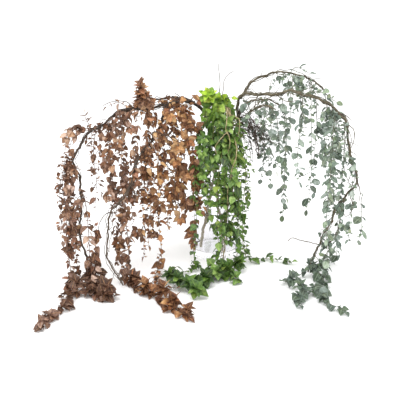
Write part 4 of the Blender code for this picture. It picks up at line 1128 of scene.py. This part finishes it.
def add_rosette(foliage, rosette, stems):
    """A shoot that ends in a rosette: leaves round its tip, the inner ones small and upright."""
    draw = foliage.draw
    place = Vector(rosette.place)
    axis = Vector(rosette.axis).normalized()
    start = nearest_on(stems, place)
    route = curve_through((start, start.lerp(place, 0.5) - UP * ROSETTE_STALK, place), FINE_STEP)
    add_stem(foliage.work, route, SHOOT_RADII, STEM_SIDES, 1)
    node = Node(place, axis, axis.orthogonal().normalized())
    sag = ROSETTE_SAG if place.z > LYING_HEIGHT and axis.z < ROSETTE_UPRIGHT else ROSETTE_STAND
    for i in range(rosette.count):
        share = (i + 0.5) / rosette.count
        own = node._replace(place=place - axis * ROSETTE_DEPTH * share)
        tilt = ROSETTE_TILTS[0] + (ROSETTE_TILTS[1] - ROSETTE_TILTS[0]) * math.sqrt(share)
        growth = ROSETTE_INNER + (1 - ROSETTE_INNER) * math.sqrt(share)
        length = LEAF_LENGTH * rosette.size * growth * draw.uniform(*LEAF_SIZES)
        tilt += draw.uniform(-ROSETTE_STRAY, ROSETTE_STRAY)
        leaf = Leaf(own, i * GOLDEN_ANGLE, tilt, draw.uniform(-ROSETTE_ROLL, ROSETTE_ROLL), length)
        add_leaf(foliage, hung_matrix(leaf, sag, 1.0), leaf_kind(foliage.colour, place, draw))


def grown_tube(route, radii, sides, material):
    """A closed tube that grows ring by ring along a route. Its grain is its place on a straight tube."""
    work = bmesh.new()
    grain = work.verts.layers.float_vector.new("grain")
    ring = bmesh.ops.create_circle(work, segments=sides, radius=1.0, cap_ends=True)["verts"]
    for vert in ring:
        vert[grain] = (vert.co.x, vert.co.y, 0.0)
    cap = work.faces[:][0]
    for i, (node, distance) in enumerate(zip(turned_nodes(route, first_run(route)), lengths_along(route))):
        if i:
            grown = bmesh.ops.extrude_face_region(work, geom=[cap])["geom"]
            ring = [piece for piece in grown if isinstance(piece, bmesh.types.BMVert)]
            cap = next(piece for piece in grown if isinstance(piece, bmesh.types.BMFace))
        other = node.along.cross(node.side)
        for vert in ring:
            x, y = vert[grain].x, vert[grain].y
            if i:
                x, y = x / radii[i - 1], y / radii[i - 1]
            vert.co = node.place + (node.side * x + other * y) * radii[i]
            vert.co.z = max(vert.co.z, FLOOR_CLEAR)
            vert[grain] = (x * radii[i], y * radii[i], distance)
    bmesh.ops.recalc_face_normals(work, faces=work.faces)
    for face in work.faces:
        face.smooth = len(face.verts) == 4
        face.material_index = material
    return mesh_of(work, "tube")


def gnarled(route, amount):
    """A route that strays to each side in long and short bends, except at its ends."""
    last = len(route) - 1
    line = []
    for i, place in enumerate(route):
        stray = noise.noise_vector(place * LONG_BENDS) + noise.noise_vector(place * SHORT_BENDS) * SHORT_SHARE
        line.append(place + stray * amount * min(1, i / STILL_RINGS, (last - i) / STILL_RINGS))
    return line


def tapered(count, thick, thin):
    return [thick + (thin - thick) * i / (count - 1) for i in range(count)]


def knotted(route, radii, draw, flare):
    """Radii with knots here and there, a rough bark, and a flare where a shoot leaves its parent."""
    lengths = lengths_along(route)
    knots, at = [], draw.uniform(*KNOT_SPACING)
    while at < lengths[-1]:
        knots.append((at, draw.uniform(*KNOT_SIZES)))
        at += draw.uniform(*KNOT_SPACING)
    rough = []
    for place, radius, along in zip(route, radii, lengths):
        swell = sum(KNOT_RISE * size * math.exp(-((along - knot) / KNOT_REACH) ** 2) for knot, size in knots)
        swell += ROUGH_SHARE * noise.noise(place * ROUGH_SCALE)
        swell += FORK_FLARE * math.exp(-along / FORK_REACH) if flare else 0
        rough.append(radius * (1 + swell))
    return rough


def companion(route, turn):
    """A thin shoot that winds along a thicker one and ends on it."""
    last = len(route) - 1
    nodes = turned_nodes(route, first_run(route))
    line = []
    for i, (node, along) in enumerate(zip(nodes, lengths_along(route))):
        angle = turn + along * WIND_RATE + WIND_STRAY * noise.noise(node.place * WIND_SCALE)
        out = node.side * math.cos(angle) + node.along.cross(node.side) * math.sin(angle)
        swing = 1 + noise.noise(node.place * SWING_SCALE)
        line.append(node.place + out * WIND_REACH * swing * min(1, i / WIND_RINGS, (last - i) / WIND_RINGS))
    return line


def twiglets(line, draw):
    """Short bare twigs on a line of wood, bent at their middle."""
    nodes = turned_nodes(line, first_run(line))
    for _ in range(round(lengths_along(line)[-1] / TWIGLET_SPACING)):
        node = nodes[draw.randrange(2, len(nodes) - 1)]
        out = (Matrix.Rotation(draw.uniform(0, math.tau), 3, node.along) @ node.side).normalized()
        length = draw.uniform(*TWIGLET_LENGTHS)
        lean = draw.uniform(*TWIGLET_LEANS[0])
        middle = node.place + (out * TWIGLET_REACHES[0] + node.along * lean) * length
        lean, fall = draw.uniform(*TWIGLET_LEANS[1]), draw.uniform(*TWIGLET_FALL)
        end = node.place + (out * TWIGLET_REACHES[1] + node.along * lean + DOWN * fall) * length
        yield gnarled(curve_through((node.place, raised(middle), raised(end)), BARK_STEP), TWIGLET_STRAY)


def add_mesh(work, mesh):
    work.from_mesh(mesh)
    bpy.data.meshes.remove(mesh)


def new_object(name, data, materials=()):
    thing = bpy.data.objects.new(name, data)
    bpy.context.scene.collection.objects.link(thing)
    for material in materials:
        data.materials.append(material)
    return thing


def finished_piece(name, work, materials, replaced):
    """A piece of the scene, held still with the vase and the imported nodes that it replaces."""
    piece = new_object(name, mesh_of(work, name), materials)
    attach(piece, "root")
    if replaced:
        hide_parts(*replaced)
    return piece


def stem_line(points, wood):
    """The line of a finer stem, from the middle of the wood and out through the bark along its points."""
    line = [nearest_on(wood.values(), points[0]), points[0]] + curve_through(points[1:], FINE_STEP)
    return gnarled(line, STEM_WOBBLE)


def leafy_strand(plant, foliage, packed, wood, draw, looks):
    """The finer strand for a packed one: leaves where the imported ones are, and more between them."""
    line = stem_line(packed.points, wood)
    whim = foliage.draw
    radii = knotted(line, tapered(len(line), *FINE_STEM), whim, False)
    add_mesh(foliage.work, grown_tube(line, radii, STEM_SIDES, 1))
    leaves = list(packed_leaves(packed.route, draw))
    nodes = turned_nodes(divided(line, len(leaves) * PAIRS_PER_LEAF), first_run(line))
    habit = LEAF_HABITS.get(packed.name, Habit(1.0, plant.split))
    size = plant.leaf_size * habit.size
    for i, leaf in enumerate(leaves):
        own = nodes[(i + 1) * PAIRS_PER_LEAF]
        shift = own.place - leaf.node.place if i < len(leaves) - 1 else Vector()
        stand = packed_stand(leaf, foliage.half_width, packed.tree)
        if stand:
            add_leaf(foliage, Matrix.Translation(shift) @ stand, leaf_kind(foliage.colour, own.place, whim))
        if i < len(leaves) - 1:
            partner = leaf._replace(node=own, azimuth=leaf.azimuth + math.pi, tilt=whim.uniform(*LARGE_TILT),
                                    length=LEAF_LENGTH * size * whim.uniform(*LARGE_SIZES))
            add_leaf(foliage, hung_matrix(partner, PAIR_SAG, 1.0), leaf_kind(foliage.colour, own.place, whim))
        between = nodes[max(1, i * PAIRS_PER_LEAF + 1):(i + 1) * PAIRS_PER_LEAF]
        add_stretch(foliage, between, leaf.azimuth + math.pi / 2, size, habit.split)
    hanging = [place for place in line if place.z > LYING_HEIGHT]
    lying = [place for place in line if place.z <= LYING_HEIGHT]
    for part, counts, lengths, growth in ((hanging, HANGING_SHOOTS, SIDE_LENGTHS, 1),
                                          (lying, LYING_SHOOTS, LYING_LENGTHS, LYING_SIZE)):
        add_side_shoots(foliage, part, counts.get(packed.name, 0), lengths, size * growth, habit.split)
    finished_piece(f"leafy_{packed.name}", foliage.work, looks, [packed.name])
    return line


def add_side_shoots(foliage, line, count, lengths, size, split):
    """Short shoots that leave a strand and hang beside it, or rise from it where it lies on the surface."""
    draw = foliage.draw
    for i in range(count):
        start = line[int((i + draw.random()) / count * len(line))]
        out = level(draw.uniform(0, math.tau))
        length = draw.uniform(*lengths)
        if start.z < LYING_HEIGHT:
            rise = UP * LYING_RISE * draw.uniform(*LYING_RISES)
            points = (start, start + out * length * SIDE_REACHES[0] + rise,
                      start + out * length + UP * SIDE_RISE)
        else:
            points = (start, start + out * length * SIDE_REACHES[0] + UP * SIDE_RISE,
                      start + out * length * SIDE_REACHES[1] - UP * length * SIDE_HANG)
        add_shoot(foliage, curve_through([raised(point) for point in points], FINE_STEP), size, split)


def raised(point):
    return Vector((point.x, point.y, max(point.z, LIE_HEIGHT)))


def crown_routes(crown, wood, draw):
    """Routes of the side shoots of a crown, which leave the wood, rise or sag, and hang."""
    line = divided(wood[crown.shoot], CROWN_STEPS)
    for i in range(crown.count):
        share = crown.first + (crown.last - crown.first) * (i + draw.random()) / crown.count
        start = line[min(round(share * CROWN_STEPS), CROWN_STEPS - 1)]
        out = level(math.radians(draw.uniform(*crown.headings)))
        length = draw.uniform(*crown.lengths)
        rise = UP * length * (crown.rise + draw.uniform(-CROWN_STRAY, CROWN_STRAY))
        points = [start + out * length * reach + rise - UP * length * drop for reach, drop in CROWN_BENDS]
        yield curve_through((start, *points), FINE_STEP)


def leafy_extras(plant, foliage, routes, wood, stems, looks):
    """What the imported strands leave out, as one piece: side shoots on the wood, rosettes and more strands."""
    for crown in plant.crowns:
        for route in crown_routes(crown, wood, foliage.draw):
            add_shoot(foliage, route, crown.size, plant.split)
    by_name = {shoot.name: shoot for shoot in plant.wood}
    for i, fall in enumerate(plant.fillers):
        barks = list(bark_places(by_name[fall.shoot], routes[fall.shoot]))
        line = stem_line(next(ways_of(fall, barks, i * GOLDEN_ANGLE + 1)), wood)
        add_shoot(foliage, line, plant.leaf_size, plant.split)
        stems.append(line)
    for rosette in plant.rosettes:
        add_rosette(foliage, rosette, stems)
    return finished_piece(f"{foliage.colour}_side_shoots", foliage.work, looks, ())


def tint(colour):
    """A colour in bytes as the linear light that a shader takes."""
    shares = [value / 255 for value in colour]
    return (*(s / 12.92 if s <= 0.04045 else ((s + 0.055) / 1.055) ** 2.4 for s in shares), 1.0)


def fed(tree, node, inputs):
    """Sets or links the inputs of a shader node."""
    for name, value in inputs.items():
        if isinstance(value, bpy.types.NodeSocket):
            tree.links.new(value, node.inputs[name])
        else:
            node.inputs[name].default_value = value
    return node


def add_node(tree, kind, settings=None, inputs=None):
    node = tree.nodes.new("ShaderNode" + kind)
    for name, value in (settings or {}).items():
        setattr(node, name, value)
    return fed(tree, node, inputs or {})


def calc(tree, operation, *values):
    return add_node(tree, "Math", {"operation": operation}, dict(enumerate(values))).outputs[0]


def eased(tree, value, low, high, start, end):
    """A value that passes softly from start to end as another goes from low to high."""
    node = add_node(tree, "MapRange", {"interpolation_type": "SMOOTHSTEP"},
                    {"Value": value, "From Min": low, "From Max": high, "To Min": start, "To Max": end})
    return node.outputs["Result"]


def blended(tree, share, first, second, blend="MIX"):
    """A share of a second colour on the first. A colour is a socket, or bytes."""
    first, second = (tint(part) if isinstance(part, tuple) else part for part in (first, second))
    node = add_node(tree, "Mix", {"data_type": "RGBA", "blend_type": blend}, {0: share, 6: first, 7: second})
    return node.outputs[2]


def ramp(tree, value, stops, colours):
    """Colours, in bytes, that a value runs through."""
    node = add_node(tree, "ValToRGB", inputs={"Fac": value})
    elements = node.color_ramp.elements
    while len(elements) < len(stops):
        elements.new(0.5)
    for element, position, colour in zip(elements, stops, colours):
        element.position = position
        element.color = tint(colour)
    return node.outputs["Color"]


def object_place(tree):
    """Where a point of the surface lies on the object."""
    return add_node(tree, "TexCoord").outputs["Object"]


def soft_noise(tree, scale):
    """Broad noise over the object."""
    inputs = {"Vector": object_place(tree), "Scale": scale, "Detail": 2.0}
    return add_node(tree, "TexNoise", inputs=inputs).outputs["Fac"]


def axes_of(tree, vector):
    return add_node(tree, "SeparateXYZ", inputs={"Vector": vector}).outputs


def new_group(name, inputs, outputs):
    tree = bpy.data.node_groups.new(name, "ShaderNodeTree")
    for socket, kind in inputs.items():
        tree.interface.new_socket(socket, in_out="INPUT", socket_type="NodeSocket" + kind)
    for socket in outputs:
        tree.interface.new_socket(socket, in_out="OUTPUT", socket_type="NodeSocketFloat")
    return tree, tree.nodes.new("NodeGroupInput").outputs, tree.nodes.new("NodeGroupOutput")


def use_group(tree, group, inputs):
    node = tree.nodes.new("ShaderNodeGroup")
    node.node_tree = group
    return fed(tree, node, inputs).outputs


def leaf_veins():
    """Masks of a midrib and of side veins that run out and forwards from it."""
    tree, given, made = new_group("leaf veins", {"Blade": "Vector", "Count": "Float"}, ("Midrib", "Veins"))
    parts = axes_of(tree, given["Blade"])
    across = calc(tree, "ABSOLUTE", parts["Y"])
    midrib = eased(tree, across, *MIDRIB_EDGE, 1.0, 0.0)
    phase = calc(tree, "SUBTRACT", calc(tree, "MULTIPLY", parts["X"], given["Count"]),
                 calc(tree, "MULTIPLY", across, VEIN_SLANT))
    veins = eased(tree, calc(tree, "PINGPONG", phase, 0.5), *VEIN_EDGE, 1.0, 0.0)
    fading = eased(tree, across, *VEIN_FADE, 1.0, 0.0)
    fed(tree, made, {"Midrib": midrib, "Veins": calc(tree, "MULTIPLY", veins, fading)})
    return tree


def leaf_mottle():
    """Broad blotches and fine speckles, different on each leaf by its own number."""
    tree, given, made = new_group("leaf mottle", {"Number": "Float"}, ("Blotches", "Speckles"))
    place = object_place(tree)
    shift = calc(tree, "MULTIPLY", given["Number"], MOTTLE_SPREAD)
    for output, scale in (("Blotches", BLOTCH_SCALE), ("Speckles", SPECKLE_SCALE)):
        mottle = add_node(tree, "TexNoise", {"noise_dimensions": "4D"},
                          {"Vector": place, "W": shift, "Scale": scale, "Detail": 3.0, "Roughness": 0.6})
        fed(tree, made, {output: eased(tree, mottle.outputs["Fac"], *MOTTLE_RANGE, 0.0, 1.0)})
    return tree


def bark_fibres():
    """Fibres that run along the wood, and cracks between them."""
    tree, given, made = new_group("bark fibres", {"Grain": "Vector", "Scale": "Float"}, ("Fibres", "Cracks"))
    stretched = add_node(tree, "Mapping", inputs={"Vector": given["Grain"], "Scale": FIBRE_STRETCH})
    pattern = {"Vector": stretched.outputs["Vector"], "Scale": given["Scale"]}
    fibres = add_node(tree, "TexNoise", inputs={**pattern, "Detail": 5.0, "Roughness": 0.65})
    plates = add_node(tree, "TexVoronoi", {"feature": "DISTANCE_TO_EDGE"}, pattern)
    fed(tree, made, {"Fibres": eased(tree, fibres.outputs["Fac"], *FIBRE_RANGE, 0.0, 1.0),
                     "Cracks": eased(tree, plates.outputs["Distance"], *CRACK_EDGE, 1.0, 0.0)})
    return tree


def height_masks():
    """Masks of the wood that hangs low, and of the wood that stands in the vase."""
    tree, _, made = new_group("height masks", {}, ("Low", "Foot"))
    parts = axes_of(tree, object_place(tree))
    level_place = add_node(tree, "CombineXYZ", inputs={"X": parts["X"], "Y": parts["Y"]})
    reach = add_node(tree, "VectorMath", {"operation": "LENGTH"}, {0: level_place.outputs["Vector"]})
    inside = eased(tree, reach.outputs["Value"], VASE_RADIUS, VASE_RADIUS + FOOT_EDGE, 1.0, 0.0)
    foot = eased(tree, parts["Z"], *FOOT_FADE, FOOT_SHARE, 0.0)
    fed(tree, made, {"Foot": calc(tree, "MULTIPLY", inside, foot),
                     "Low": eased(tree, parts["Z"], *LOW_HEIGHTS, 1.0, 0.0)})
    return tree


def new_material(name):
    material = bpy.data.materials.new(name)
    material.use_nodes = True
    tree = material.node_tree
    return material, tree, tree.nodes["Principled BSDF"]


def attribute(tree, name):
    return add_node(tree, "Attribute", {"attribute_name": name}).outputs["Vector"]


def finish_surface(tree, shader, colour, roughness, height, depth):
    """Sets a surface's colour, roughness and fine bumps."""
    bumps = add_node(tree, "Bump", inputs={"Height": height, "Distance": depth})
    fed(tree, shader, {"Base Color": colour, "Roughness": roughness, "Normal": bumps.outputs["Normal"]})


def leaf_material(colour, look, groups):
    """A leaf: its tone and age pick its colour, with blotches, veins, a darker rim and a pale underside."""
    material, tree, shader = new_material(f"{colour} leaf")
    blade = attribute(tree, "blade")
    on_blade = axes_of(tree, blade)
    kind = axes_of(tree, attribute(tree, "kind"))
    mottle = use_group(tree, groups["mottle"], {"Number": kind["Z"]})
    veins = use_group(tree, groups["veins"], {"Blade": blade, "Count": look.vein_count})
    spread = calc(tree, "MULTIPLY_ADD", mottle["Blotches"], look.blotches, -look.blotches / 2)
    tone = calc(tree, "ADD", kind["X"], spread)
    shade = blended(tree, kind["Y"], ramp(tree, tone, LEAF_STOPS, look.young),
                    ramp(tree, tone, LEAF_STOPS, look.old))
    chance = calc(tree, "FRACT", calc(tree, "MULTIPLY", kind["Z"], BLUSH_SPREAD))
    blush = eased(tree, chance, *BLUSH_CHANCE, 0.0, look.blush_share)
    shade = blended(tree, blush, shade, look.blush, "MULTIPLY")
    ribs = calc(tree, "MAXIMUM", calc(tree, "MULTIPLY", veins["Veins"], VEIN_SHARE), veins["Midrib"])
    rim = eased(tree, calc(tree, "ABSOLUTE", on_blade["Y"]), *RIM_EDGE, 0.0, look.rim_share)
    root = eased(tree, on_blade["X"], *ROOT_EDGE, look.rim_share, 0.0)
    under = calc(tree, "MULTIPLY", on_blade["Z"], look.under_share)
    dust = calc(tree, "MULTIPLY", mottle["Speckles"], look.bloom_share)
    for share, coat in ((calc(tree, "MULTIPLY", ribs, look.rib_share), look.rib), (rim, look.rim),
                        (root, look.rim), (under, look.under), (dust, look.bloom)):
        shade = blended(tree, share, shade, coat)
    roughness = eased(tree, mottle["Speckles"], 0.0, 1.0, *look.roughness)
    height = calc(tree, "SUBTRACT", calc(tree, "MULTIPLY", mottle["Speckles"], SPECKLE_BUMP), ribs)
    finish_surface(tree, shader, shade, roughness, height, LEAF_BUMP)
    shader.inputs["Specular IOR Level"].default_value = look.gloss
    return material


def bark_material(name, look, stops, groups):
    """Bark or a stem's skin: fibres along the wood, dark cracks and paler patches."""
    material, tree, shader = new_material(name)
    bark = use_group(tree, groups["fibres"], {"Grain": attribute(tree, "grain"), "Scale": look.scale})
    patches = use_group(tree, groups["mottle"], {"Number": 0.0})
    masks = use_group(tree, groups["height"], {})
    shade = ramp(tree, bark["Fibres"], stops, look.fibres)
    for share, coat in ((calc(tree, "MULTIPLY", patches["Blotches"], look.patch_share), look.patch),
                        (calc(tree, "MULTIPLY", bark["Cracks"], look.crack_share), look.crack),
                        (calc(tree, "MULTIPLY", masks["Low"], look.low_share), LOW_TINT),
                        (masks["Foot"], FOOT_TINT)):
        shade = blended(tree, share, shade, coat)
    roughness = eased(tree, bark["Fibres"], 0.0, 1.0, *look.roughness)
    height = calc(tree, "SUBTRACT", bark["Fibres"], bark["Cracks"])
    finish_surface(tree, shader, shade, roughness, height, BARK_BUMP)
    return material


def glass_material():
    """Clear glass with a faint cool tint and the slightest smear."""
    material, tree, shader = new_material("clear glass")
    smears = soft_noise(tree, SMEAR_SCALE)
    fed(tree, shader, {"Base Color": ramp(tree, smears, (0.0, 1.0), GLASS_TINTS),
                       "Roughness": eased(tree, smears, *SMEAR_RANGE, 0.0, SMEAR_ROUGHNESS),
                       "Transmission Weight": 1.0, "IOR": GLASS_IOR})
    return material


def floor_material():
    material, tree, shader = new_material("pale floor")
    fed(tree, shader, {"Base Color": ramp(tree, soft_noise(tree, FLOOR_GRAIN), (0.3, 0.7), FLOOR_TINTS),
                       "Roughness": FLOOR_ROUGHNESS, "Specular IOR Level": FLOOR_GLOSS})
    return material


def root_twigs(seed):
    """Fine bare twigs that leave the grey trunk above the mouth, reach right and hang."""
    draw = random.Random(seed)
    low, high = FINE_TWIG_HEIGHTS
    for i in range(FINE_TWIGS):
        out = level(draw.uniform(-FINE_TWIG_SPREAD, FINE_TWIG_SPREAD)) * draw.uniform(*FINE_TWIG_REACH)
        drop = UP * draw.uniform(*FINE_TWIG_DROP)
        start = Vector((FINE_TWIG_START, 0.0, low + (high - low) * i / (FINE_TWIGS - 1)))
        points = (start, start + out * FINE_TWIG_REACHES[0] + UP * FINE_TWIG_RISE,
                  start + out * FINE_TWIG_REACHES[1] - drop * FINE_TWIG_SAG, start + out - drop)
        yield Shoot(f"fine_twig_{i}", *FINE_TWIG_RADII, TWIG_STEP, points)


def wood_lines(colour, plant):
    """The shoots of a plant's wood, their packed routes, and finer ones that stray a little, by shoot."""
    twigs = root_twigs(plant.seed)
    shoots = plant.wood + (tuple(twigs) if colour == "grey" else ())
    strays = {shoot.name: WOOD_STRAY if shoot.step == WOOD_STEP else TWIG_STRAY for shoot in shoots}
    fine = {name: gnarled(line, strays[name]) for name, line in wood_routes(shoots, BARK_STEP).items()}
    return shoots, wood_routes(shoots, None), fine


def wood_piece(colour, plant, shoots, lines, skins):
    """A plant's wood: trunk, forks and twigs with knots, and thin shoots that wind along them."""
    work = bmesh.new()
    draw = random.Random(plant.seed + KNOT_SEED)
    for shoot in shoots:
        line = lines[shoot.name]
        trunk, thick = shoot is shoots[0], shoot.step == WOOD_STEP
        thin = shoot.thin * (WOOD_END if thick else 1)
        radii = knotted(line, tapered(len(line), shoot.thick, thin), draw, not trunk)
        add_mesh(work, grown_tube(line, radii, BARK_SIDES if thick else TWIG_SIDES, 0 if thick else 1))
        inside = sum(place.z < VASE_HEIGHT + BARE_MARGIN for place in line[:TRUNK_FOOT]) if trunk else 0
        bare = line[inside:]
        if thick:
            for turn in COMPANION_TURNS:
                add_stem(work, companion(bare[2:], turn), COMPANION_RADII, TWIG_SIDES, 0)
            for twiglet in twiglets(bare, draw):
                add_stem(work, twiglet, TWIGLET_RADII, TWIG_SIDES, 0)
    for rung in plant.rungs:
        start, end = (nearest_on(lines.values(), Vector(spot)) for spot in (rung.start, rung.end))
        line = curve_through((start, start.lerp(end, 0.5) - UP * rung.sag, end), BARK_STEP)
        add_stem(work, gnarled(line, RUNG_STRAY), TWIGLET_RADII, TWIG_SIDES, 0)
    for points in plant.vines:
        start = nearest_on(lines.values(), Vector(points[0]))
        line = gnarled(curve_through((start, *points[1:]), BARK_STEP), VINE_STRAY)
        radii = knotted(line, tapered(len(line), *VINE_RADII), draw, True)
        add_mesh(work, grown_tube(line, radii, TWIG_SIDES, 0))
    return finished_piece(f"{colour}_knotted_wood", work, skins, [f"{colour}_wood"])


def fanned_twigs(trunk, draw):
    """Fine bare twigs that fan out of the grey trunk, from level to steep, and fork."""
    for _ in range(ROOT_TWIGS):
        start = nearest_on([trunk], Vector((FINE_TWIG_START, 0.0, draw.uniform(*FINE_TWIG_HEIGHTS))))
        length, dip = draw.uniform(*ROOT_TWIG_LENGTHS), draw.uniform(*ROOT_TWIG_DIPS)
        out = level(draw.uniform(-FINE_TWIG_SPREAD, FINE_TWIG_SPREAD)) * length * math.cos(dip)
        drop = DOWN * length * math.sin(dip)
        points = [start + out * reach + drop * fall for reach, fall in ROOT_TWIG_BENDS]
        line = gnarled(curve_through((start, *points), BARK_STEP), ROOT_STRAY)
        yield line
        node = turned_nodes(line, first_run(line))[len(line) // 2]
        turn = Matrix.Rotation(draw.uniform(0, math.tau), 3, node.along)
        way = node.along + turn @ node.side * ROOT_FORK_SIDE + DOWN * ROOT_FORK_FALL
        end = node.place + way * length * ROOT_FORK_SHARE
        yield gnarled(curve_through((node.place, node.place.lerp(end, 0.5), end), BARK_STEP), ROOT_STRAY)


def root_bundle(foliage, trunk, looks, bark):
    """The tangle of fine twigs at the grey trunk, with dark little leaves on their ends."""
    draw = foliage.draw
    for line in fanned_twigs(trunk, draw):
        add_stem(foliage.work, line, ROOT_TWIG_RADII, TWIG_SIDES, 2)
        nodes = turned_nodes(line, first_run(line))
        for node in nodes[math.floor(len(nodes) * ROOT_LEAF_FIRST)::ROOT_LEAF_EVERY]:
            leaf = Leaf(node, draw.uniform(0, math.tau), draw.uniform(*SMALL_TILT), 0.0,
                        LEAF_LENGTH * draw.uniform(*ROOT_LEAF_SIZES))
            kind = (draw.uniform(0, ROOT_TONE), 1.0, draw.random())
            add_leaf(foliage, hung_matrix(leaf, ROOT_SAG, 1.0), kind)
    return finished_piece("grey_root_twigs", foliage.work, looks + [bark], ())


def glass_vase(glass):
    """A cylinder with a thick floor: a profile spun round, its edges then rounded."""
    inner = VASE_RADIUS - VASE_WALL
    profile = ((0, VASE_FLOOR), (inner, VASE_FLOOR), (inner, VASE_HEIGHT), (VASE_RADIUS, VASE_HEIGHT),
               (VASE_RADIUS, 0), (0, 0))
    work = bmesh.new()
    corners = [work.verts.new((radius, 0, height)) for radius, height in profile]
    sides = [work.edges.new(pair) for pair in zip(corners, corners[1:])]
    bmesh.ops.spin(work, geom=corners + sides, cent=(0, 0, 0), axis=UP, angle=math.tau, steps=VASE_SIDES,
                   use_merge=True)
    bmesh.ops.remove_doubles(work, verts=work.verts, dist=NEXT_TO)
    bmesh.ops.recalc_face_normals(work, faces=work.faces)
    for radius, height, rounding in ((inner, VASE_FLOOR, VASE_ROUND), (inner, VASE_HEIGHT, VASE_RIM),
                                     (VASE_RADIUS, VASE_HEIGHT, VASE_RIM), (VASE_RADIUS, 0, VASE_LIP)):
        corner = Vector((radius, height))
        ring = [edge for edge in work.edges
                if all((Vector((v.co.xy.length, v.co.z)) - corner).length < NEXT_TO for v in edge.verts)]
        bmesh.ops.bevel(work, geom=ring, offset=rounding, affect="EDGES", segments=4, profile=0.5,
                        material=-1)
    for face in work.faces:
        face.smooth = True
    piece = finished_piece("glass_vase", work, [glass], ["vase"])
    flats = piece.modifiers.new("even normals", "WEIGHTED_NORMAL")
    flats.weight = 100
    # Real clear glass lets the light of a white room through to the surface under it and to the stems.
    piece.visible_shadow = False
    piece.visible_diffuse = False


def studio():
    """The photograph's camera, a white room, one broad soft light and a wide pale floor."""
    scene = bpy.context.scene
    camera = new_object("camera", bpy.data.cameras.new("camera"))
    camera.location = CAMERA_PLACE
    aim = Vector(CAMERA_TARGET) - Vector(CAMERA_PLACE)
    camera.rotation_euler = aim.to_track_quat("-Z", "Y").to_euler()
    camera.data.lens = CAMERA_LENS
    camera.data.sensor_width = CAMERA_SENSOR
    camera.data.clip_end = FLOOR_RADIUS * 3
    scene.camera = camera
    scene.world = bpy.data.worlds.new("white room")
    scene.world.use_nodes = True
    room = scene.world.node_tree.nodes["Background"]
    room.inputs["Color"].default_value = (1, 1, 1, 1)
    room.inputs["Strength"].default_value = ROOM_LIGHT
    scene.view_settings.view_transform = "Standard"
    lamp = new_object("soft light", bpy.data.lights.new("soft light", "AREA"))
    lamp.data.size = LAMP_SIZE
    lamp.data.energy = LAMP_POWER
    lamp.location = LAMP_PLACE
    lamp.rotation_euler = (Vector(LAMP_TARGET) - Vector(LAMP_PLACE)).to_track_quat("-Z", "Y").to_euler()
    work = bmesh.new()
    bmesh.ops.create_circle(work, cap_ends=True, segments=FLOOR_SIDES, radius=FLOOR_RADIUS)
    bmesh.ops.translate(work, verts=work.verts, vec=UP * FLOOR_HEIGHT)
    new_object("floor", mesh_of(work, "floor"), [floor_material()])


def make_plant(colour, plant, groups):
    """One of the three stems: its wood, its leafy strands, and the side shoots and rosettes between them."""
    looks = [leaf_material(colour, LEAF_LOOKS[colour], groups),
             bark_material(f"{colour} stem", STEM_LOOKS[colour], STEM_STOPS, groups)]
    skins = [bark_material(f"{colour} bark", BARK_LOOKS[colour], BARK_STOPS, groups),
             bark_material(f"{colour} twig", TWIG_LOOK, BARK_STOPS, groups)]
    shoots, routes, fine = wood_lines(colour, plant)
    wood_piece(colour, plant, shoots, fine, skins)
    width = plant.leaf_width / LEAF_LENGTH
    blades = [shaped_blade(blade, OUTLINES[colour], width) for blade in BLADES]
    broad = [shaped_blade(blade, HEARTED, width) for blade in BROAD_BLADES]
    stems = list(fine.values())
    by_name = {shoot.name: shoot for shoot in plant.wood}
    draw = random.Random(plant.seed)
    foliage = Foliage(None, colour, blades, broad, width / 2, random.Random(plant.seed + WHIM_SEED))
    strands = {f"{colour}_strand_{i:02}": fall for i, fall in enumerate(plant.falls, 1)} | plant.sprays
    for i, (name, strand) in enumerate(strands.items()):
        barks = list(bark_places(by_name[strand.shoot], routes[strand.shoot]))
        packed = packed_strand(name, strand, barks, i * GOLDEN_ANGLE)
        stems.append(leafy_strand(plant, foliage._replace(work=bmesh.new()), packed, fine, draw, looks))
    leafy_extras(plant, foliage._replace(work=bmesh.new()), routes, fine, stems, looks)
    if colour == "grey":
        bundle = foliage._replace(work=bmesh.new(), draw=random.Random(plant.seed + BUNDLE_SEED))
        root_bundle(bundle, fine["trunk"], looks, skins[1])


noise.seed_set(BEND_SEED)
studio()
groups = {"veins": leaf_veins(), "mottle": leaf_mottle(), "fibres": bark_fibres(), "height": height_masks()}
glass_vase(glass_material())
for colour, plant in PLANTS.items():
    make_plant(colour, plant, groups)
